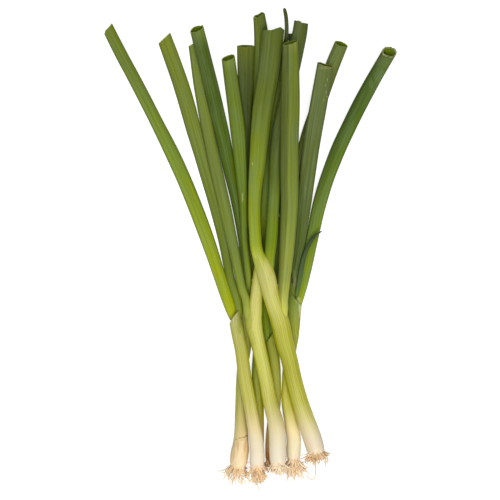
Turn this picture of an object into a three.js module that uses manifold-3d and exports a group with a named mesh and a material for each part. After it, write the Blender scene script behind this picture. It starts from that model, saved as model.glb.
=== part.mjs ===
// A bunch of seven spring onions lying on a table.
//
// Each onion is a bulb drawn out into a stem (one stalk), a tuft of roots under the
// bulb and one to three leaves that leave the mouth of the stem. The leaves are
// hollow tubes, trimmed at the top, so their upper ends are open. Two are young
// pointed leaves that were not trimmed: they are thin and solid.
//
// Millimetres. The table is z = 0, +Y runs from the roots to the leaf tips and
// +X to the right. The origin is on the table, under the middle of the bunch.

import * as THREE from 'three';
import { mergeVertices } from 'three/addons/utils/BufferGeometryUtils.js';
import Module from 'manifold-3d';

const wasm = await Module();
wasm.setup();

// ---- driving dimensions ----

const LEAF_WALL = 0.8; // thickness of a hollow leaf
const GAP = 0.3; // clearance between pieces that touch
const BLIND_LENGTH = 26; // solid stretch at a leaf's base, below its hollow
const STALK_HEIGHT = 0.95; // height of a stalk's section over its width

const BULB_END_SHARE = 0.65; // flat end of a bulb over its full width
const BULB_ROUNDING = 0.7; // how far the rounded end stands out

const STALK_SIDES = 12;
const STALK_STEPS = 15;
const LEAF_SIDES = 8;
const LEAF_STEPS = 13;
const YOUNG_LEAF_SIDES = 6;

const ROOT_COUNT = 9;
const ROOT_SIDES = 4;
const ROOT_STEPS = 3;
const ROOT_WIDTH = 1.7; // at the bulb
const ROOT_WAIST = 1.4; // halfway along
const ROOT_TIP = 0.5; // at the end
const ROOT_INSET = 1.7; // from the bulb's side to the middle of the nearest root
const ROOT_ARCH = 0.5; // how far a root bows up halfway along
const ROOT_KINK = 0.5; // how far it bends to one side there
const WAIST_SPREAD = 0.4; // share of the fanning done halfway along
const OUTER_ROOT_LOSS = 0.3; // how much shorter the outermost roots are
const SIDE_LAYER_SHARE = 0.82; // length of the upper and lower roots over the middle ones
const LAYER_RISE = 1.4; // height between the ends of two layers of roots
const ROOT_FLOOR = 0.05; // no root ends lower than this

const PLATE_START = 0.2; // woody disc that the roots grow from: its near face,
const PLATE_END = 2.6; // its far face
const PLATE_INSET = 0.7; // and how much narrower it is than the bulb, each side

// ---- routes ----
// A stalk's rows run from the bulb's base to its mouth: x, y, height of the
// underside above the table, width, and the height where the section isn't round.

const STALKS = {
  onion_1: [
    [-9.1, -158, 0.6, 10.8],
    [-8.5, -154, 0.2, 12],
    [-7.9, -149.5, 0, 12.7],
    [-7.2, -145, 0, 12.5],
    [-6.6, -139, 0, 11.2],
    [-6.4, -132, 0, 9.8],
    [-6.6, -122, 0, 8.8],
    [-6.4, -108, 0, 8.2],
    [-6.2, -97, 0, 7.8],
    [-5.4, -85, 0, 7.5],
    [-3.1, -70, 0, 8],
    [-2.8, -58, 0, 6.8],
    [-2.9, -46, 0, 6.7],
    [-2.8, -33, 0.5, 6.2],
  ],
  onion_2: [
    [5.2, -158.6, 9.6, 9.4],
    [5.1, -155, 9.2, 10.2],
    [5, -144, 9, 10.5],
    [4.4, -136.5, 8.9, 10],
    [2, -122.5, 8.2, 9.7],
    [-0.5, -108, 7.7, 9.6],
    [-3, -95, 7.6, 9.4],
    [-4.9, -82, 7.7, 9.4],
    [-6.1, -72.5, 7.6, 9.4],
    [-8.4, -62, 6.2, 9.2],
    [-10.6, -50.5, 3.8, 9.4],
    [-11.7, -42, 3, 7.8],
  ],
  onion_3: [
    [5.6, -153, 0.3, 7],
    [5.8, -147, 0, 8.2],
    [5.9, -137, 0, 8.4],
    [6.2, -123, 0, 7.8],
    [6, -106, 0, 7.6],
    [5.3, -90, 0, 8.3],
    [5.6, -72, 0, 7.1],
    [5, -50, 0, 6.8],
    [5, -36, 0, 6.4],
    [5.2, -23, 0.5, 5.6],
  ],
  onion_4: [
    [20.6, -155.8, 9.5, 11.2],
    [20.2, -151, 9.2, 12.4],
    [19.9, -144, 9, 12.8],
    [19.3, -130, 8.9, 12.3],
    [18, -122.5, 8.7, 11.5],
    [14.1, -108, 8, 10.3],
    [11.5, -93.5, 7.9, 9.9],
    [8.5, -79, 7.9, 10.1],
    [5.3, -65, 7.7, 10.3, 9.6],
    [2.6, -50.5, 7.4, 12.4, 9.6],
    [3.5, -43, 7.3, 10.4, 9],
    [4.2, -36, 7.2, 9, 8.2],
    [5, -28, 7, 8.6, 7.4],
    [5.8, -21.5, 6.8, 8.6, 7],
    [6.5, -14, 6.6, 7.6, 6.6],
    [7.2, -8, 6.6, 6, 6],
  ],
  onion_5: [
    [15, -154, 0.3, 7.4],
    [15.3, -148, 0, 8.8],
    [15.5, -138, 0, 8.9],
    [16.6, -122.5, 0, 8.2],
    [18.3, -108, 0, 8.1],
    [18.3, -93.5, 0, 8],
    [17.2, -79, 0, 8.4],
    [14.7, -65, 0, 8.6, 7.6],
    [13.2, -54, 0.4, 8, 7],
  ],
  onion_6: [
    [31.2, -153.4, 0.7, 9],
    [31.3, -150, 0.2, 9.8],
    [31.4, -144, 0, 10.5],
    [31.6, -137, 0, 10.6],
    [29, -122.5, 0, 9.1],
    [26.7, -108, 0, 8.2],
    [26.8, -97, 0, 7.6],
    [27.3, -86, 0, 7.5],
    [29.4, -72, 0, 8],
    [31, -63, 0, 8],
    [31.5, -50.5, 0, 9.8, 7.6],
    [32.1, -38, 0, 11.2, 8],
    [33.2, -29, 0.4, 9.6, 7],
  ],
  onion_7: [
    [47.9, -147.9, 1, 12.2],
    [47.4, -144.5, 0.4, 13],
    [45.9, -139, 0.2, 13.7],
    [42.9, -130, 1, 13.6],
    [40, -122, 3, 12.9],
    [35.3, -108, 6, 12.4],
    [31.4, -93.5, 8.2, 12.2],
    [28.2, -79, 9, 12.2],
    [24.4, -65, 9.3, 12.9],
    [21.2, -50.5, 10, 13.2, 12],
    [16.2, -36, 11.6, 12, 11.2],
    [14, -28, 12.6, 12.4, 10.3],
    [12.6, -22, 13.4, 13, 9.6],
    [10.9, -16, 14, 13.2, 9.1],
    [8.4, -9.5, 14.6, 11, 8.4],
    [6.1, -4, 15.3, 8.8, 7.4],
    [4.8, 1.5, 16.1, 7.4, 5.9],
    [4.3, 7, 16, 6.8, 4.8],
  ],
};

// A leaf's rows run from inside the stalk's mouth to the tip: x, y, height of the
// underside above the table, width, height of the section.

const LEAVES = {
  onion_1_leaf_1: [
    [-3.2, -40, 0.9, 3.6, 3.4],
    [-3.2, -28, 0.3, 3.8, 3.6],
    [-3.8, -16, 0, 4.2, 3.8],
    [-5, -1.5, 0, 4.8, 4],
    [-5.9, 7, 0, 5.4, 4.4],
    [-9.4, 32.5, 0, 8, 5],
    [-15.1, 59, 0, 9.8, 5.2],
    [-20.8, 86.5, 0.6, 10.8, 5.4],
    [-27.3, 115, 4, 10.7, 5.4],
    [-35.4, 147, 4.6, 10.6, 5.2],
    [-38.5, 158.9, 4.8, 10.3, 5],
  ],
  onion_1_leaf_2: [
    [-1.6, -40, 2.6, 3.8, 3.6],
    [-0.9, -30, 2.8, 4.4, 3.6],
    [-1, -21.5, 3.8, 4.8, 4],
    [-1.7, -14.4, 4.4, 5.2, 4.2],
    [-3, -1.5, 5, 4.8, 4.4],
    [-3.8, 7, 5.4, 4.8, 4.6],
    [-4.6, 32.5, 5.6, 6.2, 5],
    [-6.6, 59, 5.2, 8.9, 5.2],
    [-9, 86.5, 4.8, 11, 5.4],
    [-12.7, 115, 2.5, 10.7, 5.4],
    [-15.8, 138.6, 1, 9.8, 5.2],
  ],
  onion_2_leaf_1: [
    [-11.6, -50, 4, 5.6, 5],
    [-14.2, -42, 3.2, 8, 5.4],
    [-16.9, -34, 2, 8.5, 5.6],
    [-21.2, -21.5, 0.7, 8.8, 5.8],
    [-30.6, 7, 0, 10.1, 5.8],
    [-41.6, 36, 0, 10.6, 5.8],
    [-54, 65, 0, 10.4, 5.8],
    [-68, 93.5, 0, 9.6, 5.6],
    [-82.2, 121, 0, 9.1, 5.4],
    [-92.8, 141, 0, 8.9, 5.2],
    [-102.6, 160.4, 0, 8.5, 5],
  ],
  onion_2_leaf_2: [
    [-8.7, -50, 4.4, 5.2, 4.4],
    [-8.4, -40, 3.9, 6.8, 4.4],
    [-10.8, -31, 2.9, 6, 4.6],
    [-13.8, -21.5, 1.8, 6.2, 4.6],
    [-19.4, 7, 0, 7.2, 4.8],
    [-25.6, 32.5, 0, 8.4, 5],
    [-32.7, 59, 0, 9.9, 5],
    [-40.4, 86.5, 0, 11.2, 5.2],
    [-48.7, 116, 0, 11.6, 5.4],
    [-55.6, 136, 0, 11.5, 5.2],
    [-61.9, 153.2, 0, 10.8, 5],
  ],
  onion_3_leaf_1: [
    [4.2, -30, 1, 3.4, 3.4],
    [3.2, -20, 0.4, 3.8, 3.6],
    [1.6, -7, 0, 4.8, 4],
    [0.2, 7, 0, 6.2, 4.2],
    [-1.6, 36, 0, 7.5, 4.6],
    [-2.6, 79, 0, 8.8, 4.8],
    [-2.6, 93.5, 0, 9.6, 4.8],
    [-2.8, 122.5, 0, 11.8, 4.8],
    [-3, 147.4, 0, 12.9, 4.6],
  ],
  onion_4_leaf_1: [
    [0.8, -56, 9.2, 4.4, 4.6],
    [-0.8, -49, 9.6, 6, 5.6],
    [-1.9, -44, 9.8, 6.2, 5.8],
    [-2.9, -36, 9.3, 6.2, 5.6],
    [-5.4, -29, 8.5, 6.4, 5.2],
    [-7.3, -21.5, 7.5, 6.6, 5],
    [-11.2, -1.5, 6, 7.6, 5],
    [-13.1, 7, 5.6, 8.3, 5],
    [-18.5, 32.5, 5.2, 9.6, 5],
    [-24.3, 57.5, 4, 9.4, 5],
    [-30.7, 86.5, 2.4, 9, 4.6],
    [-35.9, 115, 0, 8.6, 4.2],
    [-41.2, 149.2, 0, 7, 3.6],
  ],
  onion_4_leaf_2: [
    [5.8, -24, 8.6, 3.8, 3.6],
    [6.2, -9, 7.4, 4.8, 4.2],
    [4.8, 7, 6, 6.2, 4.8],
    [4.7, 36, 4, 7.6, 5],
    [6.2, 79, 0.6, 8.8, 5],
    [7.1, 108, 0, 9.8, 5],
    [8.1, 136, 0, 11, 5],
    [8.3, 147, 0, 10.9, 5],
    [7.8, 158, 0, 10.4, 5],
    [6.5, 169.5, 0, 8.5, 4.6],
  ],
  onion_5_leaf_1: [
    [15.4, -62, 1, 4.4, 3.6],
    [16, -42, 0.3, 4.8, 4],
    [17.4, -24.5, 0, 5.8, 4.2],
    [19.4, -8.5, 0, 6.4, 4.4],
    [21.8, 7, 0, 7.2, 4.6],
    [28, 36, 0, 8.6, 4.8],
    [37.2, 65, 0, 10.2, 4.8],
    [43.1, 85.5, 0, 10.8, 4.8],
    [50, 106, 0, 10.4, 4.8],
    [58.2, 129.5, 0, 10.6, 4.8],
    [66, 148.7, 0, 10.2, 4.8],
  ],
  onion_5_leaf_2: [
    [12.6, -68, 1.4, 4.4, 4],
    [12.2, -60, 1.2, 6, 4.4],
    [11, -46, 0.4, 6.2, 4.2],
    [11, -36, 0, 5.4, 3.8],
    [12, -22, 0, 4.4, 3.6],
    [14.9, 7, 0, 4.8, 3.6],
    [20.8, 36, 0, 5.2, 3.6],
    [26.3, 61, 0, 5, 3.6],
    [30.2, 79, 0, 5, 3.6],
    [31, 101, 0, 5, 3.6],
    [30.5, 122.5, 0, 5, 3.6],
    [30, 137, 0, 4.7, 3.6],
    [29.7, 156.6, 0, 4.1, 3.4],
  ],
  onion_6_leaf_1: [
    [30.8, -40, 2.6, 4.6, 3.8],
    [30.6, -28, 3, 5, 3.4],
    [32.4, -16, 3, 5.4, 3.2],
    [34.2, -7, 2.5, 6.4, 3.6],
    [36.4, 7, 1.5, 7.8, 4.4],
    [39.2, 36, 2.4, 10.8, 5],
    [42.7, 65, 5, 11.6, 5.4],
    [45.9, 85.5, 5.2, 12.2, 5.4],
    [50, 108, 5.2, 12.5, 5.4],
    [54.1, 133.4, 5.2, 11.3, 5],
  ],
  onion_6_leaf_2: [
    [34.2, -42, 0.9, 4.6, 4],
    [36.6, -31, 0.3, 7.2, 4.4],
    [38.8, -21.5, 0, 8, 4.8],
    [41.8, -7, 0, 8.6, 5],
    [44.6, 7, 0, 8.8, 5],
    [50.8, 36, 0, 10.1, 5.2],
    [60.7, 65, 0, 10.8, 5.4],
    [72.7, 91.5, 0, 11, 5.4],
    [85.6, 116.5, 0, 10.8, 5.4],
    [101, 143.8, 0, 10.4, 6.8],
  ],
  onion_7_leaf_1: [
    [15.2, -32, 14.6, 6.4, 4.8],
    [12, -23, 15.8, 7.6, 5.2],
    [9.8, -16, 16.2, 8, 5.3],
    [8.1, -9.5, 16.5, 8.6, 5.8],
    [6, -4, 16.7, 8.8, 6.1],
    [4.6, 1.5, 16.4, 8.4, 6],
    [3.9, 8, 15.5, 8.5, 5.5],
    [3.2, 36, 12, 9, 5.2],
    [5.4, 65, 9.4, 11.8, 5],
    [7.8, 93.5, 6.6, 13.9, 4.8],
    [9.1, 104, 6, 14.3, 4.8],
    [12.9, 125.5, 5.6, 14.7, 4.8],
    [15.8, 147, 5.6, 15.8, 4.6],
    [16.8, 157.5, 5.6, 16.2, 4.4],
  ],
  onion_7_leaf_2: [
    [22.6, -56, 14, 5.6, 5],
    [23.7, -42, 15.2, 7.4, 5.8],
    [23.5, -36, 14.8, 7.4, 6],
    [24, -29, 13.8, 8, 6],
    [24.6, -21.5, 13.2, 8.8, 6],
    [26.9, 7, 11.6, 11.2, 6],
    [28.4, 36, 10.6, 12.6, 6],
    [28.3, 52, 10.4, 13.4, 6],
    [28.2, 79, 10.2, 13.6, 6],
    [28.9, 108, 10.2, 13.6, 6],
    [29, 122.5, 10.2, 13.2, 6],
    [29.1, 137, 10.2, 12.2, 5.6],
    [29, 148.8, 10.2, 11, 5],
  ],
  onion_7_leaf_3: [
    [14, -28, 15.6, 4.8, 4.2],
    [13.8, -13, 15.6, 7.2, 5],
    [14, -6, 14.8, 7.8, 5.2],
    [15.3, 7, 12, 8.6, 5.2],
    [17.2, 36, 7, 8.4, 5.4],
    [19.8, 79, 4.4, 9, 5.6],
    [25.8, 108, 4.2, 9.8, 5.6],
    [31.4, 134, 4.1, 10.6, 5.4],
    [34, 147, 4.1, 11, 5.4],
    [36, 157, 4.1, 10.8, 5.2],
    [37, 164.3, 4.2, 10.2, 5],
  ],
};

const YOUNG_LEAVES = {
  onion_3_leaf_2: [
    [6.6, -30, 1, 3.4, 3.4],
    [7.4, -18, 0.4, 4, 3.6],
    [8.2, -4, 0, 4.8, 3.8],
    [9.2, 7, 0, 5.6, 4],
    [11.3, 36, 0, 6.6, 4],
    [15.4, 79, 0.1, 7, 4],
    [21.4, 122.5, 0.3, 6, 3.6],
    [24.9, 144, 1.6, 4, 2.8],
    [26.4, 157, 3.8, 3, 2.2],
    [26.3, 165.5, 3.4, 2.9, 2.1],
    [25.8, 170, 2.6, 2.9, 2],
    [24.7, 175.2, 1.6, 2.6, 1.8],
  ],
  onion_6_young_leaf: [
    [33.4, -34, 4.4, 2.6, 2],
    [34.9, -25, 5.6, 3.2, 2],
    [36.1, -18, 5.8, 3.4, 2],
    [37.8, -8.5, 5.8, 3.2, 1.9],
    [40, -1.5, 5.8, 3, 1.8],
    [43.1, 5, 5.9, 2.8, 1.8],
    [46.4, 9.5, 6.3, 2.3, 1.6],
    [49, 12, 6.9, 1.7, 1.2],
    [52.2, 13.8, 7.5, 0.7, 0.7],
  ],
};

// Root tufts: how far the middle and the side roots reach past the bulb, how far
// the tuft fans out to each side, and how far its ends drop towards the table.

const ROOTS = {
  onion_1: { reach: 12.5, spread: 8, drop: 3.6, lean: -1.5 },
  onion_2: { reach: 16.5, spread: 5, drop: 6, lean: 0 },
  onion_3: { reach: 9, spread: 2.2, drop: 3, lean: -0.4 },
  onion_4: { reach: 9, spread: 5, drop: 6, lean: -0.5 },
  onion_5: { reach: 10, spread: 3, drop: 3, lean: 0.4 },
  onion_6: { reach: 13.5, spread: 8, drop: 3.6, lean: 1 },
  onion_7: { reach: 9, spread: 7.5, drop: 4.5, lean: 1 },
};

const COLOURS = {
  stalk: 0xd9d68a,
  leaf: 0x74893a,
  youngLeaf: 0x4f6a2c,
  roots: 0xe6cda0,
};

// ---- shapes ----

// Two curves in step: where the middle of the section is, and its width and height.
function routeCurves(rows) {
  const centres = rows.map(([x, y, lift, , h]) => new THREE.Vector3(x, y, lift + h / 2));
  const sizes = rows.map(([, , , w, h]) => new THREE.Vector3(w, h, 0));
  return [centres, sizes].map((points) => new THREE.CatmullRomCurve3(points, false, 'catmullrom'));
}

// One ring of an oval section, square to the route, with its width level.
function ring(curves, t, sides, shrink) {
  const [centreLine, sizeLine] = curves;
  const centre = centreLine.getPoint(t);
  const forward = centreLine.getTangent(t);
  const across = new THREE.Vector3(0, 0, 1).cross(forward).normalize().negate();
  const up = across.clone().cross(forward).normalize();
  const size = sizeLine.getPoint(t);
  const points = [];
  for (let i = 0; i < sides; i++) {
    const angle = ((i + 0.5) / sides) * 2 * Math.PI;
    const a = (size.x / 2 - shrink) * Math.cos(angle);
    const b = (size.y / 2 - shrink) * Math.sin(angle);
    points.push(centre.clone().addScaledVector(across, a).addScaledVector(up, b));
  }
  return points;
}

// A closed skin over a row of rings, with a flat cap on the first and the last.
function skin(rings) {
  const sides = rings[0].length;
  const positions = rings.flat().flatMap((p) => [p.x, p.y, p.z]);
  const index = [];
  for (let r = 0; r + 1 < rings.length; r++) {
    for (let i = 0; i < sides; i++) {
      const a = r * sides + i;
      const b = r * sides + ((i + 1) % sides);
      index.push(a, a + sides, b, b, a + sides, b + sides);
    }
  }
  const last = (rings.length - 1) * sides;
  for (let i = 1; i + 1 < sides; i++) {
    index.push(0, i, i + 1);
    index.push(last, last + i + 1, last + i);
  }
  const geometry = new THREE.BufferGeometry();
  geometry.setAttribute('position', new THREE.Float32BufferAttribute(positions, 3));
  geometry.setIndex(index);
  return geometry;
}

function steps(count) {
  return Array.from({ length: count + 1 }, (_, i) => i / count);
}

function solidTube(rows, sides, count, grow = 0) {
  const curves = routeCurves(rows);
  return skin(steps(count).map((t) => ring(curves, t, sides, -grow)));
}

// A tube that is open at its tip: its skin runs up the outside and back down the
// inside, to the blind end of the hollow.
function hollowTube(rows, sides, count) {
  const curves = routeCurves(rows);
  const blind = BLIND_LENGTH / curves[0].getLength();
  const outside = steps(count).map((t) => ring(curves, t, sides, 0));
  const inside = steps(count)
    .filter((t) => t > blind)
    .reverse()
    .map((t) => ring(curves, t, sides, LEAF_WALL));
  return skin([...outside, ...inside]);
}

// A stalk's rows in full, with the rounded end of the bulb in front of them.
function stalkRows(rows) {
  const full = rows.map(([x, y, lift, width, height = width * STALK_HEIGHT]) => [
    x,
    y,
    lift,
    width,
    height,
  ]);
  const [x, y, lift, width, height] = full[0];
  const inset = ((1 - BULB_END_SHARE) * height) / 2;
  const end = [x, y - BULB_ROUNDING, lift + inset, width * BULB_END_SHARE, height * BULB_END_SHARE];
  return [end, ...full];
}

// The woody plate under a bulb with its roots fanned out, as one solid.
function rootTuft(name) {
  const rows = stalkRows(STALKS[name]).slice(1);
  const { reach, spread, drop, lean } = ROOTS[name];
  const [x, y, lift, width, height] = rows[0];
  const middle = lift + height / 2;
  const plateRow = (offset, inset) => [
    x,
    y - offset,
    lift + inset,
    width - 2 * inset,
    height - 2 * inset,
  ];
  const plate = [
    plateRow(PLATE_START, PLATE_INSET),
    plateRow(PLATE_END, 2 * PLATE_INSET),
  ];
  let tuft = toSolid(solidTube(plate, STALK_SIDES, 1));
  for (let i = 0; i < ROOT_COUNT; i++) {
    const fan = (2 * i) / (ROOT_COUNT - 1) - 1;
    const layer = (i % 3) - 1;
    const length = reach * (1 - OUTER_ROOT_LOSS * fan * fan) * (layer === 0 ? 1 : SIDE_LAYER_SHARE);
    const side = fan * (width / 2 - ROOT_INSET);
    const startZ = middle + layer * (height / 2 - ROOT_INSET) - ROOT_WIDTH / 2;
    const endZ = Math.max(ROOT_FLOOR, startZ - drop + layer * LAYER_RISE);
    const waistX = x + side + fan * spread * WAIST_SPREAD + (i % 2 ? ROOT_KINK : -ROOT_KINK);
    const waistZ = (startZ + endZ) / 2 + ROOT_ARCH;
    const root = [
      [x + side, y - 1, startZ, ROOT_WIDTH, ROOT_WIDTH],
      [waistX, y - length / 2, waistZ, ROOT_WAIST, ROOT_WAIST],
      [x + lean + side + fan * spread, y - length, endZ, ROOT_TIP, ROOT_TIP],
    ];
    tuft = tuft.add(toSolid(solidTube(root, ROOT_SIDES, ROOT_STEPS)));
  }
  return tuft;
}

// ---- solids ----

function toSolid(geometry) {
  const bare = geometry.clone();
  bare.deleteAttribute('normal');
  bare.deleteAttribute('uv');
  const merged = mergeVertices(bare, 1e-4);
  return new wasm.Manifold(
    new wasm.Mesh({
      numProp: 3,
      vertProperties: new Float32Array(merged.attributes.position.array),
      triVerts: new Uint32Array(merged.index.array),
    }),
  );
}

function toGeometry(solid) {
  const mesh = solid.getMesh();
  const geometry = new THREE.BufferGeometry();
  geometry.setAttribute('position', new THREE.BufferAttribute(mesh.vertProperties, 3));
  geometry.setIndex(new THREE.BufferAttribute(mesh.triVerts, 1));
  return geometry;
}

function largest(solid) {
  const pieces = solid.decompose();
  return pieces.reduce((best, piece) => (piece.volume() > best.volume() ? piece : best));
}

// ---- the bunch ----

const bunch = new THREE.Group();

function addPiece(name, solid, colour, roughness) {
  const geometry = toGeometry(largest(solid));
  geometry.computeVertexNormals();
  const material = new THREE.MeshStandardMaterial({ color: colour, roughness, metalness: 0 });
  const mesh = new THREE.Mesh(geometry, material);
  mesh.name = name;
  bunch.add(mesh);
}

for (const [onion, rows] of Object.entries(STALKS)) {
  const stalk = toSolid(solidTube(stalkRows(rows), STALK_SIDES, STALK_STEPS));
  const wider = toSolid(solidTube(stalkRows(rows), STALK_SIDES, STALK_STEPS, GAP));
  const clearance = wider.add(wider.translate([0, -GAP, 0]));
  addPiece(`${onion}_stalk`, stalk, COLOURS.stalk, 0.45);
  addPiece(`${onion}_roots`, rootTuft(onion).subtract(clearance), COLOURS.roots, 0.8);

  // Each leaf is cut back from the stalk it leaves, and from its sister leaves.
  let taken = clearance;
  for (const [name, leafRows] of Object.entries(LEAVES)) {
    if (!name.startsWith(onion)) continue;
    const leaf = toSolid(hollowTube(leafRows, LEAF_SIDES, LEAF_STEPS));
    addPiece(name, leaf.subtract(taken), COLOURS.leaf, 0.5);
    taken = taken.add(toSolid(solidTube(leafRows, LEAF_SIDES, LEAF_STEPS, GAP)));
  }
  for (const [name, leafRows] of Object.entries(YOUNG_LEAVES)) {
    if (!name.startsWith(onion)) continue;
    const leaf = toSolid(solidTube(leafRows, YOUNG_LEAF_SIDES, LEAF_STEPS));
    addPiece(name, leaf.subtract(taken), COLOURS.youngLeaf, 0.5);
  }
}

export default bunch;
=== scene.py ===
"""The looks of a bunch of seven spring onions, lying on a pale table.

Every stalk and leaf is grown the same way: a ring is drawn, extruded station by
station into a straight tube as wide and high as the onion is there, softened and
creased. A leaf is given a wall and trimmed, a stalk gets a hollow mouth, and then
the piece is laid along its route.
"""

import math
import random

import bmesh
import bpy
from mathutils import Matrix, Vector, noise


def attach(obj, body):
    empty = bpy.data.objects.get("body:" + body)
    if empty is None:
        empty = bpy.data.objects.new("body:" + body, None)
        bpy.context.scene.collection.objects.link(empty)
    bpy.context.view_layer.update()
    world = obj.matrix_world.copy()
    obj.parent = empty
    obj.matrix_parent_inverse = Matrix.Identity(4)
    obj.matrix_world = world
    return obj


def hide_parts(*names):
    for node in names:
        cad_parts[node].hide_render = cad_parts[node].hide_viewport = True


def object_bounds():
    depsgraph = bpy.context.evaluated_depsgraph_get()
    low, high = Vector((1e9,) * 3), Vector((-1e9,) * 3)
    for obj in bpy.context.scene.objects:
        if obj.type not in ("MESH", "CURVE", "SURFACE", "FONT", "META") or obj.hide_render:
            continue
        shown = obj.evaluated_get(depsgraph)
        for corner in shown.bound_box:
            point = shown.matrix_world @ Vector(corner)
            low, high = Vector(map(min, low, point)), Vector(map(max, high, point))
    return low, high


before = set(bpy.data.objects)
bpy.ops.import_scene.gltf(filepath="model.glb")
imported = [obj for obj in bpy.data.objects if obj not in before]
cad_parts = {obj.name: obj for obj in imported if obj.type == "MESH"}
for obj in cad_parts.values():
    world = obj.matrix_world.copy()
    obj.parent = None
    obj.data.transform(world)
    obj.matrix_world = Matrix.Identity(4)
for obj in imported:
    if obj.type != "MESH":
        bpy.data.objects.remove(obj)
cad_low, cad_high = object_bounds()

MM = 0.001

# ---- how finely things are grown, in mm ----

LEAF_SIDES = 20
LEAF_STATION = 8.0  # between two rings of a leaf
STALK_SIDES = 20
STALK_STATION = 5.0
YOUNG_SIDES = 12
YOUNG_STATION = 5.0
ROUTE_STEPS = 24  # pieces of a route's curve between two of its rows
ROUTE_OVERRUN = 2.0  # a route is carried on this far past a stalk or a pointed leaf
SOFTEN_LEVELS = 2
SOFTEN_SHRINK = 0.984  # what the softening leaves of a ring's width
CUT_SLOT = 2  # a leaf's cut rim among its finishes
SMOOTH_ANGLE = 50  # degrees; sharper edges stay sharp

# ---- walls, cuts and creases, in mm ----

LEAF_WALL = 0.5
WALLS = {"onion_6_leaf_2": 1.0}  # thicker where the rim has dried and curled
TIP_OVERRUN = 9.0  # a leaf is grown this much past its tip and then trimmed
RAGGED_REACH = 2.5  # how far back from the cut the raggedness fades out
RIM_FADE = 9.0  # how far back a rim that isn't straight fades out
MOUTH_LIP = 0.9  # inner over outer width at a stalk's mouth
MOUTH_DEPTH = 7.0
TABLE_GAP = 0.05 * MM  # nothing is lower than this
STALK_HEIGHT = 0.95  # height of a stalk's section over its width

# A bulb's blunt end: how far in from the end, and its share of the full width there.

BULB_END = ((0.0, 0.42), (0.6, 0.66), (1.7, 0.84), (3.2, 0.95), (5.2, 1.0))

# Creases and sway: a tube's number of creases, their depth, and how far it wanders.

LEAF_CREASES = (3, 0.45)
LEAF_SWAY = 0.35
STALK_CREASES = (2, 0.14)
STALK_SWAY = 0.15
YOUNG_CREASES = [(70, 0.3, 20), (130, 0.25, 16)]
YOUNG_SWAY = 0.2
CREASE_DRIFT = 9  # degrees that a crease strays round its tube
SWELL = 0.03  # how much a tube's width comes and goes along it

# First seeds of the chance draws, one family of pieces each.

STALK_SEED = 10
ROOT_SEED = 30
LEAF_SEED = 50
YOUNG_SEED = 80
SWAY_SEED = 90

noise.seed_set(SWAY_SEED)  # without it the roots sway differently each time

# ---- routes, in mm ----
# A stalk's rows run from the bulb's base to its mouth: x, y, height of the
# underside above the table, width, and the height where the section isn't round.

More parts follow.
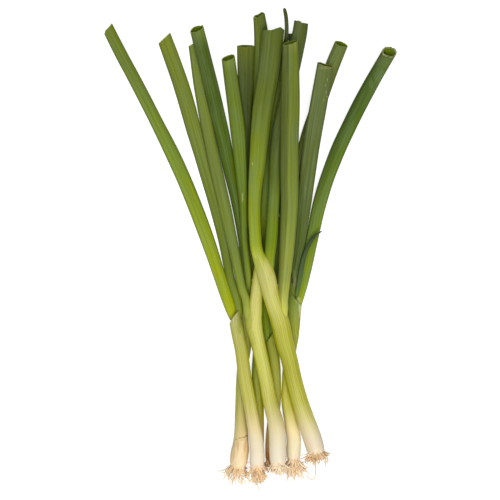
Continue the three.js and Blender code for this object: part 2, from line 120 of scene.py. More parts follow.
STALKS = {
    "onion_1": [
        (-9.1, -158, 0.6, 10.8),
        (-8.5, -154, 0.2, 12),
        (-7.9, -149.5, 0, 12.7),
        (-7.2, -145, 0, 12.5),
        (-6.6, -139, 0, 11.2),
        (-6.4, -132, 0, 9.8),
        (-6.6, -122, 0, 8.8),
        (-6.4, -108, 0, 8.2),
        (-6.2, -97, 0, 7.8),
        (-5.4, -85, 0, 7.5),
        (-3.1, -70, 0, 8),
        (-2.8, -58, 0, 6.8),
        (-2.9, -46, 0, 6.7),
        (-2.8, -33, 0.5, 6.2),
    ],
    "onion_2": [
        (5.2, -158.6, 9.6, 9.4),
        (5.1, -155, 9.2, 10.2),
        (5, -144, 9, 10.5),
        (4.4, -136.5, 8.9, 10),
        (2, -122.5, 8.2, 9.7),
        (-0.5, -108, 7.7, 9.6),
        (-3, -95, 7.6, 9.4),
        (-4.9, -82, 7.7, 9.4),
        (-6.1, -72.5, 7.6, 9.4),
        (-8.4, -62, 6.2, 9.2),
        (-10.6, -50.5, 3.8, 9.4),
        (-11.7, -42, 3, 7.8),
    ],
    "onion_3": [
        (5.6, -153, 0.3, 7),
        (5.8, -147, 0, 8.2),
        (5.9, -137, 0, 8.4),
        (6.2, -123, 0, 7.8),
        (6, -106, 0, 7.6),
        (5.3, -90, 0, 8.3),
        (5.6, -72, 0, 7.1),
        (5, -50, 0, 6.8),
        (5, -36, 0, 6.4),
        (5.2, -23, 0.5, 5.6),
    ],
    "onion_4": [
        (20.6, -155.8, 9.5, 11.2),
        (20.2, -151, 9.2, 12.4),
        (19.9, -144, 9, 12.8),
        (19.3, -130, 8.9, 12.3),
        (18, -122.5, 8.7, 11.5),
        (14.1, -108, 8, 10.3),
        (11.5, -93.5, 7.9, 9.9),
        (8.5, -79, 7.9, 10.1),
        (5.3, -65, 7.7, 10.3, 9.6),
        (2.6, -50.5, 7.4, 12.4, 9.6),
        (3.5, -43, 7.3, 10.4, 9),
        (4.2, -36, 7.2, 9, 8.2),
        (5, -28, 7, 8.6, 7.4),
        (5.8, -21.5, 6.8, 8.6, 7),
        (6.5, -14, 6.6, 7.6, 6.6),
        (7.2, -8, 6.6, 6, 6),
    ],
    "onion_5": [
        (15, -154, 0.3, 7.4),
        (15.3, -148, 0, 8.8),
        (15.5, -138, 0, 8.9),
        (16.6, -122.5, 0, 8.2),
        (18.3, -108, 0, 8.1),
        (18.3, -93.5, 0, 8),
        (17.2, -79, 0, 8.4),
        (14.7, -65, 0, 8.6, 7.6),
        (13.2, -54, 0.4, 8, 7),
    ],
    "onion_6": [
        (31.2, -153.4, 0.7, 9),
        (31.3, -150, 0.2, 9.8),
        (31.4, -144, 0, 10.5),
        (31.6, -137, 0, 10.6),
        (29, -122.5, 0, 9.1),
        (26.7, -108, 0, 8.2),
        (26.8, -97, 0, 7.6),
        (27.3, -86, 0, 7.5),
        (29.4, -72, 0, 8),
        (31, -63, 0, 8),
        (31.5, -50.5, 0, 9.8, 7.6),
        (32.1, -38, 0, 11.2, 8),
        (33.2, -29, 0.4, 9.6, 7),
    ],
    "onion_7": [
        (47.9, -147.9, 1, 12.2),
        (47.4, -144.5, 0.4, 13),
        (45.9, -139, 0.2, 13.7),
        (42.9, -130, 1, 13.6),
        (40, -122, 3, 12.9),
        (35.3, -108, 6, 12.4),
        (31.4, -93.5, 8.2, 12.2),
        (28.2, -79, 9, 12.2),
        (24.4, -65, 9.3, 12.9),
        (21.2, -50.5, 10, 13.2, 12),
        (16.2, -36, 11.6, 12, 11.2),
        (14, -28, 12.6, 12.4, 10.3),
        (12.6, -22, 13.4, 13, 9.6),
        (10.9, -16, 14, 13.2, 9.1),
        (8.4, -9.5, 14.6, 11, 8.4),
        (6.1, -4, 15.3, 8.8, 7.4),
        (4.8, 1.5, 16.1, 7.4, 5.9),
        (4.3, 7, 16, 6.8, 4.8),
    ],
}

# A leaf's rows run from inside the stalk's mouth to the tip: x, y, height of the
# underside above the table, width, height of the section.

LEAVES = {
    "onion_1_leaf_1": [
        (-3.2, -40, 0.9, 3.6, 3.4),
        (-3.2, -28, 0.3, 3.8, 3.6),
        (-3.8, -16, 0, 4.2, 3.8),
        (-5, -1.5, 0, 4.8, 4),
        (-5.9, 7, 0, 5.4, 4.4),
        (-9.4, 32.5, 0, 8, 5),
        (-15.1, 59, 0, 9.8, 5.2),
        (-20.8, 86.5, 0.6, 10.8, 5.4),
        (-27.3, 115, 4, 10.7, 5.4),
        (-35.4, 147, 4.6, 10.6, 5.2),
        (-38.5, 158.9, 4.8, 10.3, 5),
    ],
    "onion_1_leaf_2": [
        (-1.6, -40, 2.6, 3.8, 3.6),
        (-0.9, -30, 2.8, 4.4, 3.6),
        (-1, -21.5, 3.8, 4.8, 4),
        (-1.7, -14.4, 4.4, 5.2, 4.2),
        (-3, -1.5, 5, 4.8, 4.4),
        (-3.8, 7, 5.4, 4.8, 4.6),
        (-4.6, 32.5, 5.6, 6.2, 5),
        (-6.6, 59, 5.2, 8.9, 5.2),
        (-9, 86.5, 4.8, 11, 5.4),
        (-12.7, 115, 2.5, 10.7, 5.4),
        (-15.8, 138.6, 1, 9.8, 5.2),
    ],
    "onion_2_leaf_1": [
        (-11.6, -50, 4, 5.6, 5),
        (-14.2, -42, 3.2, 8, 5.4),
        (-16.9, -34, 2, 8.5, 5.6),
        (-21.2, -21.5, 0.7, 8.8, 5.8),
        (-30.6, 7, 0, 10.1, 5.8),
        (-41.6, 36, 0, 10.6, 5.8),
        (-54, 65, 0, 10.4, 5.8),
        (-68, 93.5, 0, 9.6, 5.6),
        (-82.2, 121, 0, 9.1, 5.4),
        (-92.8, 141, 0, 8.9, 5.2),
        (-102.6, 160.4, 0, 8.5, 5),
    ],
    "onion_2_leaf_2": [
        (-8.7, -50, 4.4, 5.2, 4.4),
        (-8.4, -40, 3.9, 6.8, 4.4),
        (-10.8, -31, 2.9, 6, 4.6),
        (-13.8, -21.5, 1.8, 6.2, 4.6),
        (-19.4, 7, 0, 7.2, 4.8),
        (-25.6, 32.5, 0, 8.4, 5),
        (-32.7, 59, 0, 9.9, 5),
        (-40.4, 86.5, 0, 11.2, 5.2),
        (-48.7, 116, 0, 11.6, 5.4),
        (-55.6, 136, 0, 11.5, 5.2),
        (-61.9, 153.2, 0, 10.8, 5),
    ],
    "onion_3_leaf_1": [
        (4.2, -30, 1, 3.4, 3.4),
        (3.2, -20, 0.4, 3.8, 3.6),
        (1.6, -7, 0, 4.8, 4),
        (0.2, 7, 0, 6.2, 4.2),
        (-1.6, 36, 0, 7.5, 4.6),
        (-2.6, 79, 0, 8.8, 4.8),
        (-2.6, 93.5, 0, 9.6, 4.8),
        (-2.8, 122.5, 0, 11.8, 4.8),
        (-3, 147.4, 0, 12.9, 4.6),
    ],
    "onion_4_leaf_1": [
        (0.8, -56, 9.2, 4.4, 4.6),
        (-0.8, -49, 9.6, 6, 5.6),
        (-1.9, -44, 9.8, 6.2, 5.8),
        (-2.9, -36, 9.3, 6.2, 5.6),
        (-5.4, -29, 8.5, 6.4, 5.2),
        (-7.3, -21.5, 7.5, 6.6, 5),
        (-11.2, -1.5, 6, 7.6, 5),
        (-13.1, 7, 5.6, 8.3, 5),
        (-18.5, 32.5, 5.2, 9.6, 5),
        (-24.3, 57.5, 4, 9.4, 5),
        (-30.7, 86.5, 2.4, 9, 4.6),
        (-35.9, 115, 0, 8.6, 4.2),
        (-41.2, 149.2, 0, 7, 3.6),
    ],
    "onion_4_leaf_2": [
        (5.8, -24, 8.6, 3.8, 3.6),
        (6.2, -9, 7.4, 4.8, 4.2),
        (4.8, 7, 6, 6.2, 4.8),
        (4.7, 36, 4, 7.6, 5),
        (6.2, 79, 0.6, 8.8, 5),
        (7.1, 108, 0, 9.8, 5),
        (8.1, 136, 0, 11, 5),
        (8.3, 147, 0, 10.9, 5),
        (7.8, 158, 0, 10.4, 5),
        (6.5, 169.5, 0, 8.5, 4.6),
    ],
    "onion_5_leaf_1": [
        (15.4, -62, 1, 4.4, 3.6),
        (16, -42, 0.3, 4.8, 4),
        (17.4, -24.5, 0, 5.8, 4.2),
        (19.4, -8.5, 0, 6.4, 4.4),
        (21.8, 7, 0, 7.2, 4.6),
        (28, 36, 0, 8.6, 4.8),
        (37.2, 65, 0, 10.2, 4.8),
        (43.1, 85.5, 0, 10.8, 4.8),
        (50, 106, 0, 10.4, 4.8),
        (58.2, 129.5, 0, 10.6, 4.8),
        (66, 148.7, 0, 10.2, 4.8),
    ],
    "onion_5_leaf_2": [
        (12.6, -68, 1.4, 4.4, 4),
        (12.2, -60, 1.2, 6, 4.4),
        (11, -46, 0.4, 6.2, 4.2),
        (11, -36, 0, 5.4, 3.8),
        (12, -22, 0, 4.4, 3.6),
        (14.9, 7, 0, 4.8, 3.6),
        (20.8, 36, 0, 5.2, 3.6),
        (26.3, 61, 0, 5, 3.6),
        (30.2, 79, 0, 5, 3.6),
        (31, 101, 0, 5, 3.6),
        (30.5, 122.5, 0, 5, 3.6),
        (30, 137, 0, 4.7, 3.6),
        (29.7, 156.6, 0, 4.1, 3.4),
    ],
    "onion_6_leaf_1": [
        (30.8, -40, 2.6, 4.6, 3.8),
        (30.6, -28, 3, 5, 3.4),
        (32.4, -16, 3, 5.4, 3.2),
        (34.2, -7, 2.5, 6.4, 3.6),
        (36.4, 7, 1.5, 7.8, 4.4),
        (39.2, 36, 2.4, 10.8, 5),
        (42.7, 65, 5, 11.6, 5.4),
        (45.9, 85.5, 5.2, 12.2, 5.4),
        (50, 108, 5.2, 12.5, 5.4),
        (54.1, 133.4, 5.2, 11.3, 5),
    ],
    "onion_6_leaf_2": [
        (34.2, -42, 0.9, 4.6, 4),
        (36.6, -31, 0.3, 7.2, 4.4),
        (38.8, -21.5, 0, 8, 4.8),
        (41.8, -7, 0, 8.6, 5),
        (44.6, 7, 0, 8.8, 5),
        (50.8, 36, 0, 10.1, 5.2),
        (60.7, 65, 0, 10.8, 5.4),
        (72.7, 91.5, 0, 11, 5.4),
        (85.6, 116.5, 0, 10.8, 5.4),
        (101, 143.8, 0, 10.4, 6.8),
    ],
    "onion_7_leaf_1": [
        (15.2, -32, 14.6, 6.4, 4.8),
        (12, -23, 15.8, 7.6, 5.2),
        (9.8, -16, 16.2, 8, 5.3),
        (8.1, -9.5, 16.5, 8.6, 5.8),
        (6, -4, 16.7, 8.8, 6.1),
        (4.6, 1.5, 16.4, 8.4, 6),
        (3.9, 8, 15.5, 8.5, 5.5),
        (3.2, 36, 12, 9, 5.2),
        (5.4, 65, 9.4, 11.8, 5),
        (7.8, 93.5, 6.6, 13.9, 4.8),
        (9.1, 104, 6, 14.3, 4.8),
        (12.9, 125.5, 5.6, 14.7, 4.8),
        (15.8, 147, 5.6, 15.8, 4.6),
        (16.8, 157.5, 5.6, 16.2, 4.4),
    ],
    "onion_7_leaf_2": [
        (22.6, -56, 14, 5.6, 5),
        (23.7, -42, 15.2, 7.4, 5.8),
        (23.5, -36, 14.8, 7.4, 6),
        (24, -29, 13.8, 8, 6),
        (24.6, -21.5, 13.2, 8.8, 6),
        (26.9, 7, 11.6, 11.2, 6),
        (28.4, 36, 10.6, 12.6, 6),
        (28.3, 52, 10.4, 13.4, 6),
        (28.2, 79, 10.2, 13.6, 6),
        (28.9, 108, 10.2, 13.6, 6),
        (29, 122.5, 10.2, 13.2, 6),
        (29.1, 137, 10.2, 12.2, 5.6),
        (29, 148.8, 10.2, 11, 5),
    ],
    "onion_7_leaf_3": [
        (14, -28, 15.6, 4.8, 4.2),
        (13.8, -13, 15.6, 7.2, 5),
        (14, -6, 14.8, 7.8, 5.2),
        (15.3, 7, 12, 8.6, 5.2),
        (17.2, 36, 7, 8.4, 5.4),
        (19.8, 79, 4.4, 9, 5.6),
        (25.8, 108, 4.2, 9.8, 5.6),
        (31.4, 134, 4.1, 10.6, 5.4),
        (34, 147, 4.1, 11, 5.4),
        (36, 157, 4.1, 10.8, 5.2),
        (37, 164.3, 4.2, 10.2, 5),
    ],
}

YOUNG_LEAVES = {
    "onion_3_leaf_2": [
        (6.6, -30, 1, 3.4, 3.4),
        (7.4, -18, 0.4, 4, 3.6),
        (8.2, -4, 0, 4.8, 3.8),
        (9.2, 7, 0, 5.6, 4),
        (11.3, 36, 0, 6.6, 4),
        (15.4, 79, 0.1, 7, 4),
        (21.4, 122.5, 0.3, 6, 3.6),
        (24.9, 144, 1.6, 4, 2.8),
        (26.4, 157, 3.8, 3, 2.2),
        (26.3, 165.5, 3.4, 2.9, 2.1),
        (25.8, 170, 2.6, 2.9, 2),
        (24.7, 175.2, 1.6, 2.6, 1.8),
    ],
    "onion_6_young_leaf": [
        (33.4, -34, 4.4, 2.6, 2),
        (34.9, -25, 5.6, 3.2, 2),
        (36.1, -18, 5.8, 3.4, 2),
        (37.8, -8.5, 5.8, 3.2, 1.9),
        (40, -1.5, 5.8, 3, 1.8),
        (43.1, 5, 5.9, 2.8, 1.8),
        (46.4, 9.5, 6.3, 2.3, 1.6),
        (49, 12, 6.9, 1.7, 1.2),
        (52.2, 13.8, 7.5, 0.7, 0.7),
    ],
}

# How a leaf was trimmed: slope of the cut across the leaf, how far the upper lip is
# set back for each mm of height, and how ragged the cut is.

TRIMS = {
    "onion_1_leaf_1": (0.1, 1.0, 0.25),
    "onion_1_leaf_2": (0.2, 1.0, 0.2),
    "onion_2_leaf_1": (0.33, 0.12, 0.12),
    "onion_2_leaf_2": (0.42, 0.1, 0.12),
    "onion_3_leaf_1": (0.0, 0.5, 0.2),
    "onion_4_leaf_1": (0.4, 0.1, 0.15),
    "onion_4_leaf_2": (0.22, 0.65, 0.5),
    "onion_5_leaf_1": (0.03, 0.9, 0.25),
    "onion_5_leaf_2": (0.0, 0.1, 0.15),
    "onion_6_leaf_1": (-0.13, 0.5, 0.2),
    "onion_6_leaf_2": (0.16, 1.4, 0.4),
    "onion_7_leaf_1": (0.0, -0.05, 0.12),
    "onion_7_leaf_2": (0.27, 0.65, 0.2),
    "onion_7_leaf_3": (-0.09, 0.1, 0.35),
}

# A rim that isn't straight: places across the leaf from -1 to 1, and how many mm the
# rim stands out there.

RIMS = {
    "onion_7_leaf_1": [(-1, 0.0), (-0.25, 0.4), (0.0, 1.2), (0.6, 3.4), (1, 1.6)],
    "onion_1_leaf_1": [(-1, -0.4), (-0.4, 0.2), (0.3, 0.4), (0.75, 0.0), (1, 0.9)],
    "onion_4_leaf_2": [(-1, 0.0), (-0.55, 0.6), (-0.3, -0.3), (0.5, 0.9), (1, 0.1)],
    "onion_7_leaf_3": [(-1, 0.2), (-0.1, 0.5), (0.05, -0.4), (1, 0.0)],
    "onion_7_leaf_2": [(-1, 0.0), (0.1, 0.2), (0.25, -0.3), (0.4, 0.1), (1, 0.2)],
    "onion_2_leaf_1": [(-1, -1.2), (-0.6, 0.0), (0.6, 0.2), (1, 0.5)],
    "onion_6_leaf_2": [(-1, -1.2), (-0.4, -0.9), (0.4, -1.2), (1, -1.0)],
}

# Slope of each stalk's mouth across the stalk, and its middle, in mm short of the end.

MOUTHS = {
    "onion_1": (0.5, 3.0),
    "onion_2": (1.3, 6.0),
    "onion_3": (0.4, 3.0),
    "onion_4": (-0.8, 4.0),
    "onion_5": (2.0, 9.0),
    "onion_6": (-1.0, 6.0),
    "onion_7": (-4.6, 3.0),
}


# ---- working by hand: small helpers round the operators ----


def clear_selection():
    bpy.ops.object.select_all(action="DESELECT")


def take_up(piece):
    """Selects one piece alone and makes it the active one."""
    clear_selection()
    piece.select_set(True)
    bpy.context.view_layer.objects.active = piece


def start_editing(piece):
    take_up(piece)
    bpy.ops.object.mode_set(mode="EDIT")
    bpy.ops.mesh.select_mode(type="VERT")


def stop_editing():
    bpy.ops.object.mode_set(mode="OBJECT")


def pick_points(piece, wanted):
    """Selects the points of the edited piece whose place passes the test."""
    shape = bmesh.from_edit_mesh(piece.data)
    for point in shape.verts:
        point.select = wanted(point.co)
    shape.select_flush_mode()
    bmesh.update_edit_mesh(piece.data)


def draw_out(distance):
    """Extrudes the selected ring along +Y."""
    bpy.ops.mesh.extrude_region_move(TRANSFORM_OT_translate={"value": (0, distance, 0)})


def apply_modifier(piece, modifier):
    take_up(piece)
    bpy.ops.object.modifier_apply(modifier=modifier.name)


def soften(piece, levels=SOFTEN_LEVELS):
    modifier = piece.modifiers.new("soften", "SUBSURF")
    modifier.levels = levels
    modifier.render_levels = levels
    apply_modifier(piece, modifier)


# ---- routes ----


def stalk_rows(onion):
    rows = []
    for x, y, lift, width, *height in STALKS[onion]:
        rows.append((x, y, lift, width, height[0] if height else width * STALK_HEIGHT))
    return rows


def route_points(rows):
    """The middle of each section, in metres."""
    return [Vector((x, y, lift + h / 2)) * MM for x, y, lift, _, h in rows]


def distances_along(points):
    """How far each point is from the first, along the route."""
    distances = [0.0]
    for before, after in zip(points, points[1:]):
        distances.append(distances[-1] + (after - before).length)
    return distances


def section_at(rows, distances, distance):
    """Width and height of the section at a distance along the route, in metres."""
    for i in range(len(rows) - 1):
        if distance <= distances[i + 1]:
            break
    span = distances[i + 1] - distances[i]
    t = min(max((distance - distances[i]) / span, 0.0), 1.0)
    t = t * t * (3 - 2 * t) * 0.5 + t * 0.5  # half eased, half straight
    width = rows[i][3] + (rows[i + 1][3] - rows[i][3]) * t
    height = rows[i][4] + (rows[i + 1][4] - rows[i][4]) * t
    return width * MM, height * MM


def route_curve(name, points, overrun):
    """A smooth curve through the points, carried on straight past the last one."""
    end = points[-1] + (points[-1] - points[-2]).normalized() * overrun
    route = bpy.data.curves.new(name, "CURVE")
    route.dimensions = "3D"
    route.twist_mode = "Z_UP"
    route.resolution_u = ROUTE_STEPS
    spline = route.splines.new("BEZIER")
    all_points = points + [end]
    spline.bezier_points.add(len(all_points) - 1)
    for knot, place in zip(spline.bezier_points, all_points):
        knot.co = place
        knot.handle_left_type = "AUTO"
        knot.handle_right_type = "AUTO"
        knot.tilt = math.pi / 2
    guide = bpy.data.objects.new(name, route)
    bpy.context.scene.collection.objects.link(guide)
    return guide


def lay_along(piece, points, overrun):
    """Bends a straight piece, grown along +Y, onto its route."""
    guide = route_curve(piece.name + "_route", points, overrun)
    bend = piece.modifiers.new("lay", "CURVE")
    bend.object = guide
    bend.deform_axis = "POS_Y"
    apply_modifier(piece, bend)
    bpy.data.objects.remove(guide)


# ---- growing a tube ----


def stations(length, step):
    count = max(int(round(length / step)), 2)
    return [length * i / count for i in range(count + 1)]


def end_share(distance):
    """How much of its full width a bulb has this near to its blunt end."""
    for (near, small), (far, large) in zip(BULB_END, BULB_END[1:]):
        if distance < far * MM:
            return small + (large - small) * (distance / MM - near) / (far - near)
    return 1.0


def grow_tube(name, rows, sides, places, close_base=False, close_tip=False, blunt=False, extra=0.0):
    """A straight tube along +Y through rings at the given places."""
    points = route_points(rows)
    distances = distances_along(points)

    def ring_size(place):
        ring_width, ring_height = section_at(rows, distances, place)
        share = end_share(place) if blunt else 1.0
        return ring_width * share + extra, ring_height * share + extra

    width, height = ring_size(places[0])
    clear_selection()
    bpy.ops.mesh.primitive_circle_add(vertices=sides, radius=0.5, rotation=(math.pi / 2, 0, 0))
    piece = bpy.context.object
    piece.name = name
    piece.data.name = name
    bpy.ops.object.transform_apply(location=True, rotation=True, scale=True)
    bpy.ops.object.mode_set(mode="EDIT")
    bpy.ops.mesh.select_all(action="SELECT")
    grown = 1 / SOFTEN_SHRINK
    bpy.ops.transform.resize(value=(width * grown, 1, height * grown))
    bpy.ops.transform.translate(value=(0, places[0], 0))
    for before, after in zip(places, places[1:]):
        draw_out(after - before)
        new_width, new_height = ring_size(after)
        bpy.ops.transform.resize(
            value=(new_width / width, 1, new_height / height),
            center_override=(0, after, 0),
        )
        width, height = new_width, new_height
    if close_tip:
        bpy.ops.mesh.edge_face_add()
    if close_base:
        pick_points(piece, lambda place: abs(place.y - places[0]) < 0.1 * MM)
        bpy.ops.mesh.edge_face_add()
    bpy.ops.mesh.select_all(action="SELECT")
    bpy.ops.mesh.normals_make_consistent(inside=False)
    stop_editing()
    note_grain(piece, rows, distances)
    return piece


def note_grain(piece, rows, distances):
    """Stores at each point how far round the tube it lies, and how far along in cm."""
    grain = piece.data.attributes.new("grain", "FLOAT_VECTOR", "POINT")
    for point, value in zip(piece.data.vertices, grain.data):
        width, height = section_at(rows, distances, point.co.y)
        angle = math.atan2(point.co.z / height, point.co.x / width)
        value.vector = (math.cos(angle), math.sin(angle), point.co.y * 100)


def soft_step(edge_0, edge_1, value):
    t = min(max((value - edge_0) / (edge_1 - edge_0), 0.0), 1.0)
    return t * t * (3 - 2 * t)


def press_creases(piece, creases, sway, seed, length):
    """Presses long creases into a straight tube and lets it wander a little.

    A crease is its angle round the tube, its depth and its width in degrees.
    """
    grain = piece.data.attributes["grain"]
    for point, value in zip(piece.data.vertices, grain.data):
        cosine, sine, along = value.vector
        angle = math.degrees(math.atan2(sine, cosine))
        fade = soft_step(0.0, 0.25, along / (length * 100))
        push = 0.0
        for place, depth, spread in creases:
            drift = CREASE_DRIFT * noise.noise(Vector((seed, place, along * 0.22)))
            off = (angle - place - drift + 180) % 360 - 180
            strength = 0.7 + 0.5 * noise.noise(Vector((along * 0.3, seed, place)))
            push += depth * strength * math.exp(-((off / spread) ** 2))
        push *= fade
        point.co.x -= cosine * push * MM
        point.co.z -= sine * push * MM
        wander = noise.noise(Vector((along * 0.16, seed * 1.7, 3.1)))
        swell = 1 + SWELL * noise.noise(Vector((along * 0.35, 8.2, seed)))
        point.co.x = point.co.x * swell + wander * sway * fade * MM


def rim_reach(profile, share):
    """How far the rim stands out at a place across the leaf from -1 to 1."""
    for (left, first), (right, second) in zip(profile, profile[1:]):
        if share <= right:
            return first + (second - first) * (share - left) / (right - left)
    return profile[-1][1]


def pick_open_edges():
    bpy.ops.mesh.select_all(action="DESELECT")
    bpy.ops.mesh.select_non_manifold(
        extend=False,
        use_wire=False,
        use_boundary=True,
        use_multi_face=False,
        use_non_contiguous=False,
        use_verts=False,
    )


def trim_tip(piece, length, slope, setback, ragged, seed, profile, half_width):
    """Cuts the far end off on a slant, closes the wall and leaves the cut uneven."""
    start_editing(piece)
    bpy.ops.mesh.select_all(action="SELECT")
    bpy.ops.mesh.bisect(
        plane_co=(0, length, 0),
        plane_no=Vector((-slope, 1, setback)).normalized(),
        clear_outer=True,
        use_fill=False,
    )
    pick_open_edges()
    bpy.ops.mesh.bridge_edge_loops()
    piece.active_material_index = CUT_SLOT
    bpy.ops.object.material_slot_assign()
    bpy.ops.mesh.select_all(action="SELECT")
    bpy.ops.mesh.normals_make_consistent(inside=False)
    stop_editing()
    for point in piece.data.vertices:
        cut = length + slope * point.co.x - setback * point.co.z
        near = soft_step(cut - RAGGED_REACH * MM, cut, point.co.y)
        if near > 0:
            spot = Vector((point.co.x * 700, point.co.z * 700, seed))
            fine = Vector((point.co.x * 2600, point.co.z * 2600, seed))
            jag = noise.noise(spot) + 0.5 * noise.noise(fine)
            point.co.y += jag * ragged * near * MM
        if profile:
            near = soft_step(cut - RIM_FADE * MM, cut, point.co.y)
            share = min(max(point.co.x / half_width, -1), 1)
            point.co.y += rim_reach(profile, share) * near * MM


def give_wall(piece, thickness):
    wall = piece.modifiers.new("wall", "SOLIDIFY")
    wall.thickness = thickness * MM
    wall.offset = -1
    wall.use_rim = True
    wall.material_offset = 1
    wall.material_offset_rim = CUT_SLOT
    apply_modifier(piece, wall)


def hollow_mouth(piece, slope, middle):
    """Cuts a stalk's end on a slant and sinks a thin-lipped hollow into it."""
    start_editing(piece)
    bpy.ops.mesh.select_all(action="SELECT")
    bpy.ops.mesh.bisect(
        plane_co=(0, middle, 0),
        plane_no=(-slope, 1, 0),
        clear_outer=True,
        use_fill=False,
    )
    pick_open_edges()
    draw_out(0)
    bpy.ops.transform.resize(value=(MOUTH_LIP, 1, MOUTH_LIP), center_override=(0, middle, 0))
    draw_out(-MOUTH_DEPTH * MM)
    bpy.ops.mesh.edge_face_add()
    stop_editing()


# ---- colours and finishes ----

WHITE_END = -134  # y in mm below which a stem is white, almost without stripes
GREEN_START = -112  # y in mm above which the stripes are full
STRIPE = 0.15  # how much darker a stripe is
# painted shade: a stem is painted this much darker at its sides
STEM_SIDE_SHADE = 0.98  # a stem's tone at its sides


def paint(red, green, blue):
    """A colour given as on a screen, 0 to 255, as the shader wants it."""

    def light(channel):
        share = channel / 255
        return share / 12.92 if share <= 0.04045 else ((share + 0.055) / 1.055) ** 2.4

    return (light(red), light(green), light(blue), 1.0)


def new_finish(name):
    """A material with only its shader in place."""
    material = bpy.data.materials.new(name)
    material.use_nodes = True
    tree = material.node_tree
    shader = tree.nodes["Principled BSDF"]
    return material, tree, shader


def add_node(tree, kind, **settings):
    node = tree.nodes.new(kind)
    for setting, value in settings.items():
        setattr(node, setting, value)
    return node


def set_inputs(node, values):
    for name, value in values.items():
        node.inputs[name].default_value = value


def stretched(tree, source, scale, shift):
    """The source coordinates, scaled and moved."""
    mapping = add_node(tree, "ShaderNodeMapping")
    set_inputs(mapping, {"Location": shift, "Scale": scale})
    tree.links.new(source, mapping.inputs["Vector"])
    return mapping.outputs["Vector"]


def add_noise(tree, vector, detail=3.0, roughness=0.55):
    texture = add_node(tree, "ShaderNodeTexNoise")
    set_inputs(texture, {"Scale": 1.0, "Detail": detail, "Roughness": roughness})
    tree.links.new(vector, texture.inputs["Vector"])
    return texture.outputs["Fac"]


def add_range(tree, value, low, high, to_low, to_high):
    remap = add_node(tree, "ShaderNodeMapRange", interpolation_type="SMOOTHSTEP")
    set_inputs(remap, {"From Min": low, "From Max": high, "To Min": to_low, "To Max": to_high})
    tree.links.new(value, remap.inputs["Value"])
    return remap.outputs["Result"]


def add_ramp(tree, factor, stops):
    """A colour ramp; each stop is its place from 0 to 1 and its colour."""
    ramp = add_node(tree, "ShaderNodeValToRGB")
    elements = ramp.color_ramp.elements
    while len(elements) < len(stops):
        elements.new(0.5)
    for element, (place, colour) in zip(elements, stops):
        element.position = place
        element.color = colour
    tree.links.new(factor, ramp.inputs["Fac"])
    return ramp.outputs["Color"]


def add_mix(tree, factor, first, second, blend="MIX"):
    """Mixes colours; each side is a socket or a plain colour."""
    mix = add_node(tree, "ShaderNodeMix", data_type="RGBA", blend_type=blend)
    for socket, value in ((mix.inputs[0], factor), (mix.inputs[6], first), (mix.inputs[7], second)):
        if isinstance(value, bpy.types.NodeSocket):
            tree.links.new(value, socket)
        else:
            socket.default_value = value
    return mix.outputs[2]


def add_sum(tree, first, second, share):
    """first + second * share"""
    total = add_node(tree, "ShaderNodeMath", operation="MULTIPLY_ADD")
    tree.links.new(second, total.inputs[0])
    total.inputs[1].default_value = share
    tree.links.new(first, total.inputs[2])
    return total.outputs[0]


def add_tone(tree, colour, hue, saturation, value):
    """Shifts a colour; each of the three is a socket or None."""
    tone = add_node(tree, "ShaderNodeHueSaturation")
    for socket, source in (("Hue", hue), ("Saturation", saturation), ("Value", value)):
        if source is not None:
            tree.links.new(source, tone.inputs[socket])
    tree.links.new(colour, tone.inputs["Color"])
    return tone.outputs["Color"]


def add_relief(tree, shader, height, strength, depth):
    relief = add_node(tree, "ShaderNodeBump")
    set_inputs(relief, {"Strength": strength, "Distance": depth * MM})
    tree.links.new(height, relief.inputs["Height"])
    tree.links.new(relief.outputs["Normal"], shader.inputs["Normal"])


def grain_of(tree):
    """Round and along the tube, as note_grain stored it."""
    return add_node(tree, "ShaderNodeAttribute", attribute_name="grain").outputs["Vector"]


def place_of(tree):
    """Where a point of the piece is, in metres."""
    return add_node(tree, "ShaderNodeTexCoord").outputs["Object"]


def split(tree, vector):
    parts = add_node(tree, "ShaderNodeSeparateXYZ")
    tree.links.new(vector, parts.inputs["Vector"])
    return parts.outputs


def colour_along(tree, stops):
    """A colour that changes along the bunch: each stop is its y in mm and its colour."""
    place = place_of(tree)
    along = split(tree, place)["Y"]
    first, last = stops[0][0], stops[-1][0]
    share = add_node(tree, "ShaderNodeMapRange")
    set_inputs(share, {"From Min": first * MM, "From Max": last * MM})
    tree.links.new(along, share.inputs["Value"])
    placed = [((y - first) / (last - first), paint(*colour)) for y, colour in stops]
    return add_ramp(tree, share.outputs["Result"], placed)


def across_piece(tree, grain):
    """Two values: place across the piece from -1 to 1, and nearness to an edge."""
    across = split(tree, grain)["X"]
    size = add_node(tree, "ShaderNodeMath", operation="ABSOLUTE")
    tree.links.new(across, size.inputs[0])
    return across, size.outputs[0]


def add_product(tree, first, second):
    product = add_node(tree, "ShaderNodeMath", operation="MULTIPLY")
    tree.links.new(first, product.inputs[0])
    tree.links.new(second, product.inputs[1])
    return product.outputs[0]


def add_marks(tree, colour, marks):
    """Small marks on a piece: x, y, half width, half length in mm, strength, colour."""
    place = place_of(tree)
    wobble = add_noise(tree, stretched(tree, place, (900, 500, 900), (0, 0, 0)), 2.0)
    for x, y, half_width, half_length, strength, mark in marks:
        scale = (1 / (half_width * MM), 1 / (half_length * MM), 0)
        near = stretched(tree, place, scale, (-x / half_width, -y / half_length, 0))
        reach = add_node(tree, "ShaderNodeVectorMath", operation="LENGTH")
        tree.links.new(near, reach.inputs[0])
        uneven = add_sum(tree, reach.outputs["Value"], wobble, 0.9)
        mask = add_range(tree, uneven, 1.0, 1.5, strength, 0.0)
        colour = add_mix(tree, mask, colour, paint(*mark))
    return colour


def let_light_in(shader, weight, radius, scale):
    """Lets light a little way into soft tissue; the scale is in mm."""
    set_inputs(
        shader,
        {
            "Subsurface Weight": weight,
            "Subsurface Radius": radius,
            "Subsurface Scale": scale * MM,
        },
    )


